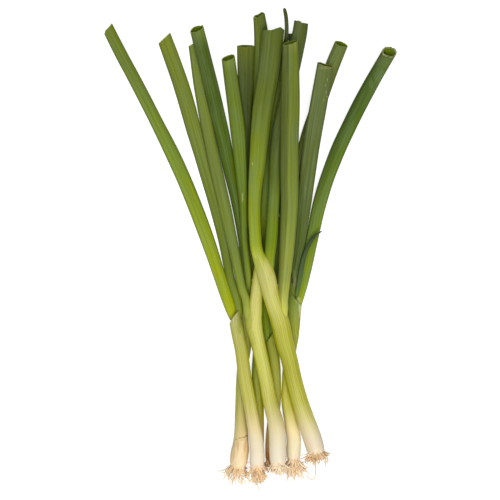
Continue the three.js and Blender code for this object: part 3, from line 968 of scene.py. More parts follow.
def leaf_skin(name, stops, seed, bloom, tilt, marks):
    """Green leaf skin: fine veins, broad faint bands, a waxy bloom, painted shade at its edges and
    painted light and shade from one side to the other.
    """
    material, tree, shader = new_finish(name)
    grain = grain_of(tree)
    shift = (seed * 1.3, seed * 2.1, seed * 0.7)
    veins = add_noise(tree, stretched(tree, grain, (15, 15, 0.3), shift), 4.0)
    streaks = add_noise(tree, stretched(tree, grain, (5, 5, 0.16), shift), 3.0)
    patches = add_noise(tree, stretched(tree, grain, (1.5, 1.5, 0.4), shift), 2.0)
    specks = add_noise(tree, stretched(tree, grain, (46, 46, 24), shift), 2.0)
    across, edge = across_piece(tree, grain)

    colour = colour_along(tree, stops)
    texture = add_sum(tree, streaks, veins, 0.7)
    value = add_range(tree, texture, 0.6, 1.1, 0.82, 1.18)
    # painted shade: the leaf is painted darker towards its edges
    rim_shade = add_range(tree, edge, 0.7, 1.0, 1.0, 0.74)
    # painted light and shade: one side is painted darker and the other lighter, as the light falls
    # on it
    place_0, place_1, left_value, right_value = tilt
    painted_side_shade = add_range(tree, across, place_0, place_1, left_value, right_value)
    value = add_product(tree, add_product(tree, value, rim_shade), painted_side_shade)
    hue = add_range(tree, patches, 0.3, 0.7, 0.492, 0.508)
    saturation = add_range(tree, patches, 0.3, 0.7, 1.06, 0.94)
    colour = add_tone(tree, colour, hue, saturation, value)
    wax = add_range(tree, add_sum(tree, patches, streaks, 0.6), 0.72, 1.05, 0.0, bloom)
    colour = add_mix(tree, wax, colour, paint(116, 128, 72))
    dots = add_range(tree, specks, 0.68, 0.76, 0.0, 0.16)
    colour = add_mix(tree, dots, colour, paint(150, 162, 100))
    if marks:
        colour = add_marks(tree, colour, marks)
    tree.links.new(colour, shader.inputs["Base Color"])

    gloss = add_range(tree, texture, 0.6, 1.1, 0.6, 0.46)
    tree.links.new(gloss, shader.inputs["Roughness"])
    set_inputs(shader, {"Specular IOR Level": 0.22})
    add_relief(tree, shader, add_sum(tree, veins, streaks, 1.0), 0.45, 0.14)
    return material


def leaf_inside(name, seed):
    """The moist yellow-green inner face of a hollow leaf."""
    material, tree, shader = new_finish(name)
    grain = grain_of(tree)
    lines = add_noise(tree, stretched(tree, grain, (20, 20, 0.6), (seed, seed, seed)), 2.0)
    colour = add_ramp(tree, lines, [(0.3, paint(76, 94, 4)), (0.7, paint(112, 130, 14))])
    tree.links.new(colour, shader.inputs["Base Color"])
    set_inputs(shader, {"Roughness": 0.6, "Specular IOR Level": 0.08})
    add_relief(tree, shader, lines, 0.4, 0.15)
    return material


def leaf_cut(name, seed, one, other):
    """The cut rim, spotted in two colours."""
    material, tree, shader = new_finish(name)
    grain = grain_of(tree)
    spots = add_noise(tree, stretched(tree, grain, (3, 3, 2), (seed, 0, seed)), 3.0)
    colour = add_ramp(tree, spots, [(0.35, paint(*one)), (0.65, paint(*other))])
    tree.links.new(colour, shader.inputs["Base Color"])
    set_inputs(shader, {"Roughness": 0.6})
    add_relief(tree, shader, spots, 0.3, 0.1)
    return material


def stem_skin(name, stops, seed, tilt, marks):
    """Pale stem skin: fine long green stripes that fade out on the bulb, with painted shade at its
    sides and painted light and shade from one side to the other.
    """
    material, tree, shader = new_finish(name)
    grain = grain_of(tree)
    shift = (seed * 1.9, seed * 0.8, seed * 1.1)
    lines = add_noise(tree, stretched(tree, grain, (17, 17, 0.09), shift), 3.0)
    bands = add_noise(tree, stretched(tree, grain, (4.5, 4.5, 0.1), shift), 2.0)
    patches = add_noise(tree, stretched(tree, grain, (1.3, 1.3, 0.4), shift), 2.0)
    across, edge = across_piece(tree, grain)

    colour = colour_along(tree, stops)
    along = split(tree, place_of(tree))["Y"]
    green = add_range(tree, along, WHITE_END * MM, GREEN_START * MM, 0.25, 1.0)
    texture = add_sum(tree, lines, bands, 0.4)
    stripes = add_range(tree, texture, 0.55, 0.85, 1.0, 0.0)
    dark_lines = add_product(tree, stripes, green)
    value = add_range(tree, dark_lines, 0.0, 1.0, 1 + STRIPE * 0.6, 1 - STRIPE)
    # painted shade at the stem's sides, fading out on the bulb; it also makes them a little richer
    # in colour
    painted_side_shade = add_product(tree, add_range(tree, edge, 0.55, 1.0, 0.0, 1.0), green)
    value = add_product(tree, value, add_range(tree, painted_side_shade, 0.0, 1.0, 1.0, STEM_SIDE_SHADE))
    # painted light and shade from one side of the stem to the other
    value = add_product(tree, value, add_range(tree, across, *tilt))
    hue = add_range(tree, patches, 0.3, 0.7, 0.494, 0.506)
    rich = add_sum(tree, dark_lines, painted_side_shade, 0.8)
    saturation = add_range(tree, rich, 0.0, 1.6, 0.9, 1.3)
    colour = add_tone(tree, colour, hue, saturation, value)
    if marks:
        colour = add_marks(tree, colour, marks)
    tree.links.new(colour, shader.inputs["Base Color"])

    gloss = add_range(tree, texture, 0.55, 1.0, 0.5, 0.38)
    tree.links.new(gloss, shader.inputs["Roughness"])
    set_inputs(shader, {"Specular IOR Level": 0.3})
    let_light_in(shader, 0.35, (1.0, 0.8, 0.4), 2.0)
    add_relief(tree, shader, texture, 0.35, 0.14)
    return material


def dry_skin(name, seed, marks):
    """Papery tan skin with fine lines along it and a browner edge."""
    material, tree, shader = new_finish(name)
    grain = grain_of(tree)
    lines = add_noise(tree, stretched(tree, grain, (22, 22, 0.3), (seed, 0, seed)), 3.0)
    blotches = add_noise(tree, stretched(tree, grain, (2.2, 2.2, 0.9), (0, seed, seed)), 3.0)
    mix = add_sum(tree, blotches, lines, 0.5)
    colour = add_ramp(
        tree,
        mix,
        [(0.46, paint(212, 172, 112)), (0.62, paint(236, 206, 152)), (0.86, paint(243, 222, 180))],
    )
    colour = add_marks(tree, colour, marks)
    tree.links.new(colour, shader.inputs["Base Color"])
    set_inputs(shader, {"Roughness": 0.55, "Specular IOR Level": 0.3})
    add_relief(tree, shader, mix, 0.5, 0.15)
    return material


def root_skin(name, pale, deep, seed):
    """Pale root threads, darker in soft blotches."""
    material, tree, shader = new_finish(name)
    place = place_of(tree)
    broad = add_noise(tree, stretched(tree, place, (260, 260, 260), (seed, seed, 0)), 3.0)
    fine = add_noise(tree, stretched(tree, place, (1500, 900, 1500), (seed, 0, seed)), 2.0)
    mix = add_sum(tree, broad, fine, 0.4)
    colour = add_ramp(tree, mix, [(0.5, paint(*deep)), (0.82, paint(*pale))])
    tree.links.new(colour, shader.inputs["Base Color"])
    set_inputs(shader, {"Roughness": 0.7})
    let_light_in(shader, 0.2, (1.0, 0.7, 0.4), 1.0)
    add_relief(tree, shader, mix, 0.5, 0.2)
    return material


# ---- colours of each piece, by y in mm along the bunch ----

STEM_COLOURS = {
    "onion_1": [
        (-158, (216, 175, 117)),
        (-150, (227, 208, 162)),
        (-138, (225, 199, 143)),
        (-126, (201, 188, 112)),
        (-108, (175, 171, 84)),
        (-80, (168, 166, 72)),
        (-45, (158, 160, 70)),
        (-30, (140, 150, 60)),
    ],
    "onion_2": [
        (-158, (229, 191, 143)),
        (-152, (230, 218, 193)),
        (-138, (228, 216, 180)),
        (-128, (227, 208, 152)),
        (-108, (198, 195, 100)),
        (-79, (190, 187, 90)),
        (-58, (192, 191, 106)),
        (-48, (190, 186, 120)),
        (-38, (172, 176, 92)),
    ],
    "onion_3": [
        (-154, (212, 169, 113)),
        (-135, (197, 166, 90)),
        (-120, (170, 164, 66)),
        (-106, (160, 162, 52)),
        (-80, (138, 148, 42)),
        (-22, (112, 130, 40)),
    ],
    "onion_4": [
        (-158, (229, 190, 139)),
        (-151, (228, 216, 189)),
        (-140, (226, 215, 185)),
        (-128, (225, 210, 160)),
        (-108, (203, 201, 104)),
        (-79, (207, 206, 104)),
        (-50, (214, 211, 118)),
        (-29, (209, 204, 116)),
        (-15, (196, 194, 104)),
    ],
    "onion_5": [
        (-154, (164, 118, 66)),
        (-146, (180, 136, 84)),
        (-134, (192, 163, 94)),
        (-115, (175, 173, 73)),
        (-80, (160, 163, 58)),
        (-52, (126, 138, 42)),
    ],
    "onion_6": [
        (-156, (227, 186, 134)),
        (-150, (229, 215, 182)),
        (-138, (230, 217, 176)),
        (-130, (236, 217, 160)),
        (-115, (206, 200, 97)),
        (-79, (172, 175, 36)),
        (-50, (153, 162, 62)),
        (-40, (136, 154, 58)),
        (-28, (118, 140, 48)),
    ],
    "onion_7": [
        (-152, (225, 178, 126)),
        (-146, (226, 209, 178)),
        (-137, (223, 208, 177)),
        (-122, (211, 200, 128)),
        (-108, (189, 187, 80)),
        (-86, (179, 179, 60)),
        (-58, (188, 188, 70)),
        (-36, (206, 202, 108)),
        (-18, (200, 198, 112)),
        (-8, (190, 194, 84)),
        (1, (162, 176, 54)),
        (8, (152, 168, 46)),
    ],
}

LEAF_COLOURS = {
    "onion_1_leaf_1": [
        (-40, (118, 132, 33)),
        (10, (92, 114, 28)),
        (40, (82, 104, 26)),
        (65, (84, 108, 22)),
        (105, (72, 94, 24)),
        (146, (78, 98, 28)),
        (158, (110, 128, 50)),
    ],
    "onion_1_leaf_2": [
        (-40, (140, 154, 37)),
        (0, (104, 124, 25)),
        (60, (104, 126, 22)),
        (128, (108, 126, 33)),
        (138, (126, 142, 60)),
    ],
    "onion_2_leaf_1": [
        (-50, (172, 180, 43)),
        (-30, (153, 168, 28)),
        (-14, (148, 164, 31)),
        (22, (135, 154, 40)),
        (72, (120, 142, 42)),
        (140, (110, 128, 42)),
        (160, (112, 126, 34)),
    ],
    "onion_2_leaf_2": [
        (-50, (130, 144, 41)),
        (-10, (108, 125, 36)),
        (60, (116, 131, 41)),
        (154, (120, 133, 37)),
    ],
    # painted shade: darker from y 40 to 126, where this leaf lies in shadow between its neighbours
    "onion_3_leaf_1": [
        (-30, (90, 106, 28)),
        (40, (66, 80, 20)),
        (100, (58, 70, 16)),
        (126, (72, 84, 22)),
        (147, (98, 108, 32)),
    ],
    "onion_4_leaf_1": [
        (-52, (174, 180, 66)),
        (-40, (152, 162, 54)),
        (-26, (130, 146, 48)),
        (0, (114, 132, 50)),
        (60, (112, 127, 50)),
        (148, (114, 129, 46)),
    ],
    "onion_4_leaf_2": [
        (-22, (172, 178, 64)),
        (0, (106, 124, 31)),
        (80, (90, 106, 28)),
        (169, (92, 106, 31)),
    ],
    "onion_5_leaf_1": [
        (-60, (108, 122, 27)),
        (0, (88, 108, 27)),
        (60, (92, 108, 36)),
        (148, (101, 114, 49)),
    ],
    "onion_5_leaf_2": [
        (-68, (122, 140, 20)),
        (-36, (104, 128, 14)),
        (0, (66, 82, 19)),
        (154, (58, 72, 21)),
    ],
    "onion_6_leaf_1": [
        (-39, (104, 128, 34)),
        (-10, (84, 102, 40)),
        (36, (88, 104, 42)),
        (80, (94, 108, 50)),
        (132, (100, 115, 60)),
    ],
    "onion_6_leaf_2": [
        (-40, (140, 160, 38)),
        (-20, (118, 140, 28)),
        (10, (106, 129, 34)),
        (60, (84, 108, 24)),
        (100, (70, 96, 20)),
        (130, (74, 98, 28)),
        (144, (92, 104, 44)),
    ],
    "onion_7_leaf_1": [
        (-30, (200, 199, 90)),
        (-8, (190, 194, 76)),
        (2, (162, 176, 26)),
        (12, (148, 165, 32)),
        (36, (135, 153, 41)),
        (72, (118, 136, 39)),
        (108, (95, 110, 33)),
        (158, (88, 102, 31)),
    ],
    "onion_7_leaf_2": [
        (-52, (208, 206, 94)),
        (-38, (186, 190, 86)),
        (-21, (149, 160, 68)),
        (22, (120, 136, 56)),
        (80, (106, 121, 46)),
        (140, (106, 120, 42)),
        (148, (124, 132, 60)),
    ],
    "onion_7_leaf_3": [
        (-28, (158, 172, 46)),
        (7, (112, 136, 25)),
        (36, (108, 128, 40)),
        (52, (88, 106, 30)),
        (80, (74, 88, 28)),
        (110, (84, 98, 34)),
        (165, (80, 92, 34)),
    ],
    # painted light: lighter round y 20 to 40, against the shadow of the leaves on either side
    "onion_3_leaf_2": [
        (-30, (104, 124, 30)),
        (20, (128, 150, 42)),
        (40, (112, 134, 38)),
        (70, (82, 100, 26)),
        (115, (84, 100, 22)),
        (140, (76, 90, 25)),
        (174, (74, 80, 40)),
    ],
    "onion_6_young_leaf": [
        (-34, (92, 118, 52)),
        (-15, (78, 100, 56)),
        (4, (58, 78, 42)),
        (14, (48, 62, 34)),
    ],
}

# How much waxy bloom lies on a leaf.

BLOOM = {
    "onion_1_leaf_1": 0.25,
    "onion_1_leaf_2": 0.2,
    "onion_2_leaf_1": 0.15,
    "onion_2_leaf_2": 0.2,
    "onion_3_leaf_1": 0.15,
    "onion_4_leaf_1": 0.25,
    "onion_4_leaf_2": 0.15,
    "onion_5_leaf_1": 0.3,
    "onion_5_leaf_2": 0.1,
    "onion_6_leaf_1": 0.4,
    "onion_6_leaf_2": 0.25,
    "onion_7_leaf_1": 0.2,
    "onion_7_leaf_2": 0.2,
    "onion_7_leaf_3": 0.2,
    "onion_3_leaf_2": 0.1,
    "onion_6_young_leaf": 0.1,
}

# Painted light and shade across a leaf or a stem: one side is painted darker and the other lighter,
# as the light falls on it. Where the change starts and ends, from -1 to 1 across, and the tone on
# either side.

NO_SIDE_SHADE = (-1, 1, 1.0, 1.0)
PAINTED_SIDE_SHADES = {
    "onion_7": (-0.8, 0.3, 0.88, 1.02),
    "onion_7_leaf_2": (-0.34, -0.14, 0.68, 1.04),
    "onion_6_leaf_2": (-0.8, 0.8, 0.8, 1.18),
    "onion_1_leaf_1": (-0.6, 0.6, 0.94, 1.06),
    "onion_7_leaf_1": (-0.2, 0.8, 1.04, 0.94),
    "onion_2_leaf_2": (-0.8, 0.8, 0.94, 1.05),
    "onion_4_leaf_2": (-0.3, 0.3, 1.05, 0.93),
}

# Small marks: x, y, half width and half length in mm, strength, colour.

MARKS = {
    "onion_1_leaf_2": [(-5.4, 38.2, 0.5, 4.2, 0.7, (176, 184, 120))],
    "onion_7_leaf_1": [(1.8, 61.9, 0.6, 1.3, 0.7, (186, 192, 120))],
    "onion_6_leaf_2": [
        (93.6, 125.5, 5.0, 7.0, 0.2, (128, 146, 104)),
        (95.8, 135.0, 6.0, 4.6, 0.3, (106, 122, 72)),
        (87.4, 120.0, 2.0, 3.4, 0.18, (128, 150, 100)),
        (34.8, -36.6, 2.0, 3.4, 0.7, (188, 192, 114)),
    ],
    "onion_6_leaf_1": [
        (55.6, 122.5, 0.3, 1.6, 0.5, (190, 194, 150)),
        (54.4, 118.5, 0.25, 1.3, 0.5, (190, 194, 150)),
        (54.8, 113.6, 0.3, 1.5, 0.55, (190, 194, 150)),
        (55.4, 110.4, 0.5, 0.7, 0.5, (190, 194, 150)),
        (53.2, 107.5, 0.25, 1.2, 0.45, (190, 194, 150)),
        (31.8, -17.2, 1.4, 3.2, 0.75, (116, 122, 74)),
        (32.4, -23.4, 1.7, 5.0, 0.8, (128, 132, 82)),
        (31.0, -29.0, 2.4, 3.8, 0.75, (112, 122, 46)),
        (29.7, -17.8, 1.1, 2.8, 0.95, (44, 42, 14)),
        (30.5, -22.4, 1.0, 2.6, 0.9, (70, 62, 28)),
        (58.6, 130.6, 1.0, 0.9, 0.7, (128, 84, 50)),
        (54.2, 131.0, 6.0, 1.3, 0.4, (150, 146, 96)),
    ],
    "onion_2": [
        (-7.6, -53.0, 2.2, 9.0, 0.6, (156, 164, 48)),
        (-14.6, -56.0, 1.6, 9.0, 0.5, (204, 202, 142)),
    ],
    "onion_4": [
        (-1.6, -50.0, 4.2, 14.0, 0.8, (168, 172, 62)),
        (-0.2, -68.0, 4.6, 14.0, 0.6, (172, 174, 66)),
    ],
    "onion_5": [
        (12.2, -148.5, 2.6, 3.6, 0.7, (160, 116, 62)),
        (12.0, -154.0, 2.6, 2.2, 0.9, (104, 68, 34)),
    ],
    "onion_1": [
        (-8.8, -46.0, 2.6, 9.0, 0.6, (150, 164, 58)),
        (-9.8, -136.3, 1.4, 0.8, 0.35, (140, 130, 52)),
        (-7.4, -135.2, 1.8, 0.6, 0.45, (140, 130, 52)),
        (-4.6, -134.6, 1.8, 0.6, 0.55, (132, 124, 50)),
        (-2.6, -133.8, 1.2, 0.7, 0.7, (120, 116, 48)),
    ],
    "onion_1_dry_skin": [
        (-8.8, -139.6, 1.1, 6.4, 0.45, (214, 166, 92)),
        (-4.2, -141.6, 0.6, 5.0, 0.45, (206, 150, 92)),
        (-11.4, -147.0, 0.8, 6.0, 0.35, (214, 170, 112)),
        (-6.2, -150.0, 0.7, 5.4, 0.3, (222, 180, 124)),
        (-8.4, -152.0, 4.6, 5.0, 0.25, (246, 232, 208)),
    ],
    "onion_6": [
        (34.6, -35.0, 2.2, 4.0, 0.6, (186, 190, 122)),
        (36.4, -42.0, 1.5, 9.0, 0.8, (216, 216, 160)),
        (29.4, -36.0, 2.2, 8.0, 0.5, (124, 144, 52)),
    ],
    "onion_7": [
        (12.8, -12.0, 3.4, 9.0, 0.45, (214, 210, 128)),
        (16.4, -24.0, 3.0, 9.0, 0.4, (218, 214, 136)),
        (5.4, -9.0, 2.0, 8.0, 0.5, (170, 182, 70)),
    ],
}

# The two colours of a leaf's cut rim: fresh ones are light green, two have dried.

FRESH_CUT = ((120, 138, 50), (158, 170, 88))
CUTS = {
    "onion_6_leaf_1": ((168, 138, 84), (150, 156, 82)),
    "onion_6_leaf_2": ((108, 116, 62), (166, 168, 116)),
}


# ---- the pieces ----


def dress(piece, *finishes):
    for finish in finishes:
        piece.data.materials.append(finish)


def finish_piece(piece, node):
    """Rests the piece on the table, smooths the shading and ties it to the frame."""
    for point in piece.data.vertices:
        point.co.z = max(point.co.z, TABLE_GAP)
    take_up(piece)
    bpy.ops.object.shade_smooth_by_angle(angle=math.radians(SMOOTH_ANGLE))
    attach(piece, "root")
    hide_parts(node)


def creases_for(seed, count, depth):
    """A few long creases at chance places on the upper half of a leaf."""
    chance = random.Random(seed)
    creases = []
    for _ in range(count):
        place = chance.uniform(20, 160)
        creases.append((place, depth * chance.uniform(0.5, 1.0), chance.uniform(14, 26)))
    creases.append((chance.uniform(-140, -40), depth, 30))
    return creases


# Creases of the leaves whose own show: angle round the leaf, depth, width in degrees.

SPECIAL_CREASES = {
    "onion_7_leaf_2": [(108, 0.8, 7), (124, -0.4, 9), (60, 0.3, 16), (-90, 0.5, 30)],
    "onion_7_leaf_1": [(84, 0.35, 24), (140, 0.3, 16), (30, 0.3, 12), (-90, 0.5, 30)],
    "onion_6_leaf_1": [(120, 0.5, 14), (70, 0.3, 20), (-90, 0.5, 30)],
}


def skin_of_leaf(node, seed):
    # tilt: painted light and shade from one side of the leaf to the other
    tilt = PAINTED_SIDE_SHADES.get(node, NO_SIDE_SHADE)
    return leaf_skin(node + "_skin", LEAF_COLOURS[node], seed, BLOOM[node], tilt, MARKS.get(node))


def grow_leaf(node, seed):
    rows = LEAVES[node]
    points = route_points(rows)
    length = distances_along(points)[-1]
    overrun = TIP_OVERRUN * MM
    places = stations(length + overrun, LEAF_STATION * MM)
    piece = grow_tube("fine_" + node, rows, LEAF_SIDES, places)
    soften(piece)
    creases = SPECIAL_CREASES.get(node) or creases_for(seed, *LEAF_CREASES)
    press_creases(piece, creases, LEAF_SWAY, seed, length)
    skin = skin_of_leaf(node, seed)
    inside = leaf_inside(node + "_inside", seed)
    cut = leaf_cut(node + "_cut", seed, *CUTS.get(node, FRESH_CUT))
    dress(piece, skin, inside, cut)
    give_wall(piece, WALLS.get(node, LEAF_WALL))
    half_width = rows[-1][3] / 2 * MM
    trim_tip(piece, length, *TRIMS[node], seed, RIMS.get(node), half_width)
    lay_along(piece, points, overrun)
    finish_piece(piece, node)


def grow_young_leaf(node, seed):
    """A solid pointed leaf that was never trimmed."""
    rows = YOUNG_LEAVES[node]
    points = route_points(rows)
    length = distances_along(points)[-1]
    places = stations(length, YOUNG_STATION * MM)
    piece = grow_tube("fine_" + node, rows, YOUNG_SIDES, places, close_base=True, close_tip=True)
    soften(piece)
    press_creases(piece, YOUNG_CREASES, YOUNG_SWAY, seed, length)
    dress(piece, skin_of_leaf(node, seed))
    lay_along(piece, points, ROUTE_OVERRUN * MM)
    finish_piece(piece, node)


def wrap_skin(stalk, onion, seed):
    """A loose dry outer skin round the bulb, joined to the stalk's piece."""
    start, end, slope, arch = DRY_SKINS[onion]
    rows = stalk_rows(onion)
    points = route_points(rows)
    reach = (end - start) * MM
    places = [start * MM + step for step in stations(reach, DRY_STATION * MM)]
    skin = grow_tube("dry_skin", rows, STALK_SIDES, places, blunt=True, extra=DRY_SLACK * MM)
    soften(skin)
    half_width = section_at(rows, distances_along(points), end * MM)[0] / 2
    for point in skin.data.vertices:
        near = soft_step((end - DRY_FRAY) * MM, end * MM, point.co.y)
        share = point.co.x / half_width
        jag = noise.noise(Vector((point.co.x * 800, point.co.z * 800, seed)))
        point.co.y += (slope * share - arch * share * share + 0.9 * jag) * near * MM
        lift = 1 + 0.035 * near * noise.noise(Vector((point.co.x * 500, 0, seed)))
        point.co.x *= lift
        point.co.z *= lift
    dress(skin, dry_skin(onion + "_dry_skin", seed, MARKS[onion + "_dry_skin"]))
    wall = skin.modifiers.new("wall", "SOLIDIFY")
    wall.thickness = DRY_WALL * MM
    wall.offset = -1
    apply_modifier(skin, wall)
    lay_along(skin, points, ROUTE_OVERRUN * MM)
    clear_selection()
    skin.select_set(True)
    stalk.select_set(True)
    bpy.context.view_layer.objects.active = stalk
    bpy.ops.object.join()


def grow_stalk(onion, seed):
    rows = stalk_rows(onion)
    points = route_points(rows)
    length = distances_along(points)[-1]
    ends = [near * MM for near, _ in BULB_END]
    places = ends + stations(length, STALK_STATION * MM)[2:]
    name = "fine_" + onion + "_stalk"
    piece = grow_tube(name, rows, STALK_SIDES, places, close_base=True, blunt=True)
    soften(piece)
    press_creases(piece, creases_for(seed, *STALK_CREASES), STALK_SWAY, seed, length)
    slope, short = MOUTHS[onion]
    hollow_mouth(piece, slope, length - short * MM)
    # tilt: painted light and shade from one side of the stalk to the other
    tilt = PAINTED_SIDE_SHADES.get(onion, NO_SIDE_SHADE)
    skin = stem_skin(onion + "_stem_skin", STEM_COLOURS[onion], seed, tilt, MARKS.get(onion))
    dress(piece, skin)
    lay_along(piece, points, ROUTE_OVERRUN * MM)
    if onion in DRY_SKINS:
        wrap_skin(piece, onion, seed)
    finish_piece(piece, onion + "_stalk")


# A dry skin: where it starts and ends in mm from the bulb's base, how much its edge
# slants across the bulb, and how far the edge drops at the sides.

DRY_SKINS = {"onion_1": (0.6, 20.5, 1.2, 2.2)}
DRY_WALL = 0.18
DRY_SLACK = 0.5  # how much wider it is than the bulb
DRY_STATION = 2.5
DRY_FRAY = 6  # how far back from its edge it is ragged

# Root tufts: number of threads, their length in mm, how far they fan out, how thick a
# thread is where it leaves the bulb, and its pale and its deep colour.

ROOTS = {
    "onion_1": (46, 14.0, 0.9, 1.4, (250, 226, 190), (240, 204, 154)),
    "onion_2": (60, 11.5, 0.55, 1.8, (250, 222, 182), (236, 194, 142)),
    "onion_3": (20, 9.0, 0.6, 1.3, (244, 214, 170), (206, 158, 100)),
    "onion_4": (50, 8.0, 0.75, 1.5, (252, 234, 204), (238, 204, 160)),
    "onion_5": (34, 10.0, 0.8, 1.3, (212, 166, 110), (130, 90, 46)),
    "onion_6": (54, 15.0, 0.85, 2.0, (252, 232, 200), (236, 198, 150)),
    "onion_7": (52, 9.4, 1.0, 1.3, (248, 222, 184), (210, 160, 102)),
}
THREAD_DEEP = (158, 112, 66)
FINE_ROOT_SHARE = 0.6  # as many again that are thin and longer
ROOT_CLIMB = 2.4  # how far up the bulb's rounded end the outer roots start, in mm
ROOT_INSET = 0.9  # the tuft's width over the width of the bulb's end
THREAD_STEPS = 11
THREAD_CURL = (0.05, 0.19)
THREAD_SINK = 0.08  # how strongly a thread bends down to the table at each step
THREAD_FLOOR = 0.35  # the middle of a thread is no lower than this, in mm
THREAD_START = 2.6  # how deep in the bulb a thread starts, in mm
THREAD_TAPER = 0.65
OLD_TAPER = 0.35
OLD_THREAD = ((120, 92, 62), (84, 60, 38))  # colours of the long old threads
THREAD_SLOT, FINE_SLOT, OLD_SLOT = 0, 1, 2  # their places among a tuft's finishes

# Single long threads, placed one by one: their thickness, then points in mm.

LONG_ROOTS = {
    "onion_1": [
        (0.7, (-13, -157, 4), (-16.4, -158.6, 2), (-18.6, -161.4, 1), (-19.0, -163.6, 0.5)),
        (0.9, (-9.5, -158, 4), (-11.4, -164.4, 1.8), (-13.0, -168.6, 0.6)),
        (0.9, (-8, -158, 4), (-7.4, -164.0, 2.2), (-8.2, -168.4, 0.8)),
        (0.8, (-12, -157, 4), (-14.8, -161.4, 2), (-15.2, -164.4, 0.8)),
        (0.7, (-5, -157, 4), (-3.0, -160.4, 2), (-2.0, -163.4, 0.8)),
    ],
    "onion_2": [
        (0.9, (3.6, -159, 12), (3.7, -165, 7), (5.0, -169.6, 3), (7.2, -174.8, 0.8)),
        (0.7, (1.6, -159, 12), (1.0, -163, 8), (1.6, -168.2, 3)),
        (0.8, (9, -159, 12), (11.6, -163, 8), (12.8, -165.6, 5)),
    ],
    "onion_6": [
        (1.0, (35, -154, 6), (38.4, -157.6, 3), (41.6, -161.4, 1.2), (43.0, -162.4, 0.6)),
        (0.9, (34, -154, 3), (36.6, -159.6, 1.8), (38.4, -164.6, 0.6)),
        (0.8, (36, -153, 5), (39.0, -155.0, 3.4), (41.4, -157.8, 2.2)),
    ],
    "onion_7": [
        (
            0.8,
            (47.6, -149, 4),
            (47.7, -155, 1.6),
            (47.6, -164.6, 0.4),
            (45.6, -166.8, 0.4),
            (42.4, -165.6, 0.4),
            (40.0, -161.8, 0.5),
        ),
        (0.9, (52.5, -147, 4), (54.6, -150, 2), (55.6, -154, 1), (54.6, -157.6, 0.4)),
        (0.9, (53.5, -146, 6), (55.6, -148.4, 4), (55.8, -152, 2), (56.6, -154.6, 1)),
        (0.9, (43, -148, 5), (40.2, -150.2, 3), (39.2, -152.8, 1.6), (40.8, -154.6, 0.5)),
        (0.9, (43, -148, 6), (40.0, -148.8, 4.6), (37.8, -151.2, 3.4), (36.6, -150.4, 2.8)),
        (0.7, (46, -149, 4), (44.8, -152.4, 2.6), (45.6, -155.4, 1)),
    ],
}


def thread_points(chance, base, back, across, up, radius, length, fan):
    """One root: out of the plate, fanning, curling and sinking to the table."""
    angle = chance.uniform(0, 2 * math.pi)
    off = radius * math.sqrt(chance.uniform(0.02, 1.0))
    place = base + across * (off * math.cos(angle)) + up * (off * math.sin(angle))
    place -= back * (ROOT_CLIMB * MM * (off / radius) ** 3)
    spread = off / radius * fan * chance.uniform(0.5, 1.4)
    heading = back + across * (spread * math.cos(angle)) + up * (spread * math.sin(angle) * 0.6)
    heading.normalize()
    curl = chance.uniform(*THREAD_CURL)
    phase = Vector([chance.uniform(0, 50) for _ in range(3)])
    step = length * chance.uniform(0.5, 1.1) / THREAD_STEPS
    points = [place - back * THREAD_START * MM - heading * 0.6 * MM]
    for _ in range(THREAD_STEPS):
        points.append(place.copy())
        sway = noise.noise_vector(phase + place * 170)
        heading = (heading + sway * curl * 2.4 + Vector((0, 0, -THREAD_SINK))).normalized()
        place = place + heading * step
        if place.z < THREAD_FLOOR * MM:
            place.z = THREAD_FLOOR * MM
            heading.z = max(heading.z, 0.0)
    return points


def draw_thread(tuft, points, girth, taper, finish):
    """One thread of a tuft, thinning towards its end."""
    spline = tuft.splines.new("NURBS")
    spline.points.add(len(points) - 1)
    spline.order_u = 4
    spline.use_endpoint_u = True
    spline.resolution_u = 3
    spline.material_index = finish
    for i, (knot, place) in enumerate(zip(spline.points, points)):
        share = i / (len(points) - 1)
        knot.co = (*place, 1.0)
        knot.radius = girth * (1 - taper * share**1.3) * MM


def grow_roots(onion, seed):
    count, length, fan, thickness, pale, deep = ROOTS[onion]
    chance = random.Random(seed)
    rows = stalk_rows(onion)
    points = route_points(rows)
    back = (points[0] - points[1]).normalized()
    across = back.cross(Vector((0, 0, 1))).normalized()
    up = across.cross(back).normalized()
    if up.z < 0:
        up.negate()
    radius = rows[0][3] / 2 * MM * ROOT_INSET
    base = points[0] - back * 0.4 * MM
    tuft = bpy.data.curves.new("fine_" + onion + "_roots", "CURVE")
    tuft.dimensions = "3D"
    tuft.bevel_depth = 1.0
    tuft.bevel_resolution = 2
    tuft.use_fill_caps = True
    fine = int(count * FINE_ROOT_SHARE)
    for number in range(count + fine):
        longer, thinner, slot = (1.0, 1.0, THREAD_SLOT) if number < count else (1.2, 0.5, FINE_SLOT)
        reach = length * MM * longer
        thread = thread_points(chance, base, back, across, up, radius, reach, fan)
        girth = thickness / 2 * chance.uniform(0.55, 1.1) * thinner
        draw_thread(tuft, thread, girth, THREAD_TAPER, slot)
    for thick, *places in LONG_ROOTS.get(onion, []):
        thread = [Vector(place) * MM for place in places]
        draw_thread(tuft, thread, thick / 2, OLD_TAPER, OLD_SLOT)
    piece = bpy.data.objects.new(tuft.name, tuft)
    bpy.context.scene.collection.objects.link(piece)
    take_up(piece)
    bpy.ops.object.convert(target="MESH")
    piece = bpy.context.object
    piece.data.materials.clear()
    dress(
        piece,
        root_skin(onion + "_root_skin", pale, deep, seed),
        root_skin(onion + "_thread_skin", deep, THREAD_DEEP, seed),
        root_skin(onion + "_long_thread_skin", *OLD_THREAD, seed),
    )
    finish_piece(piece, onion + "_roots")


for number, onion in enumerate(STALKS, start=1):
    grow_stalk(onion, STALK_SEED + number)
    grow_roots(onion, ROOT_SEED + number)

for number, node in enumerate(LEAVES, start=1):
    grow_leaf(node, LEAF_SEED + number)

for number, node in enumerate(YOUNG_LEAVES, start=1):
    grow_young_leaf(node, YOUNG_SEED + number)


# ---- table, light and camera ----

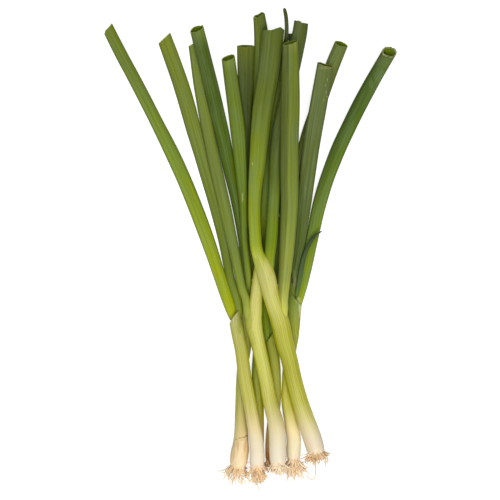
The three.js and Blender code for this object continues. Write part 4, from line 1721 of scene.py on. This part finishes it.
TABLE_SIZE = 6.0
TABLE_DROP = 0.1 * MM  # the table's top under the lowest point of the bunch
TABLE_GLOW = 0.72  # keeps the table white in the picture
ROOM_LIGHT = 0.29
VIEW_WIDTH = 360 * MM  # what the picture takes in, at the bunch's height
VIEW_LEVEL = 8 * MM
CAMERA_HEIGHT = 1.5
SENSOR = 36.0


def lay_table():
    clear_selection()
    bpy.ops.mesh.primitive_grid_add(size=TABLE_SIZE, x_subdivisions=4, y_subdivisions=4)
    table = bpy.context.object
    table.name = "table"
    table.data.transform(Matrix.Translation((0, 0, cad_low.z - TABLE_DROP)))
    material, tree, shader = new_finish("table_white")
    place = place_of(tree)
    cloud = add_noise(tree, stretched(tree, place, (3, 3, 3), (0, 0, 0)), 2.0)
    colour = add_ramp(tree, cloud, [(0.3, paint(206, 206, 206)), (0.7, paint(210, 210, 209))])
    tree.links.new(colour, shader.inputs["Base Color"])
    set_inputs(shader, {"Roughness": 0.9, "Specular IOR Level": 0.1})
    set_inputs(shader, {"Emission Color": (1, 1, 1, 1), "Emission Strength": TABLE_GLOW})
    table.data.materials.append(material)
    table.visible_diffuse = False  # so that its glow doesn't light the onions from below


def hang_light(name, place, aim, size, power, colour):
    data = bpy.data.lights.new(name, "AREA")
    data.shape = "DISK"
    data.size = size
    data.energy = power
    data.color = colour
    lamp = bpy.data.objects.new(name, data)
    lamp.location = place
    lamp.rotation_euler = (Vector(aim) - Vector(place)).to_track_quat("-Z", "Y").to_euler()
    bpy.context.scene.collection.objects.link(lamp)


def set_camera():
    data = bpy.data.cameras.new("camera")
    data.sensor_width = SENSOR
    data.lens = SENSOR * (CAMERA_HEIGHT - VIEW_LEVEL) / VIEW_WIDTH
    data.clip_start = 0.05
    camera = bpy.data.objects.new("camera", data)
    camera.location = (0, 0, CAMERA_HEIGHT)
    bpy.context.scene.collection.objects.link(camera)
    bpy.context.scene.camera = camera


def set_surroundings():
    world = bpy.data.worlds.new("room")
    bpy.context.scene.world = world
    world.use_nodes = True
    background = world.node_tree.nodes["Background"]
    set_inputs(background, {"Color": (1.0, 1.0, 1.0, 1.0), "Strength": ROOM_LIGHT})
    bpy.context.scene.view_settings.view_transform = "Standard"


lay_table()
hang_light("soft_key", (0.25, -0.9, 1.3), (0, 0, 0), 0.9, 18, (1.0, 0.98, 0.95))
hang_light("soft_fill", (-0.5, 0.5, 1.4), (0, 0, 0), 1.2, 6.6, (0.96, 0.98, 1.0))
set_camera()
set_surroundings()
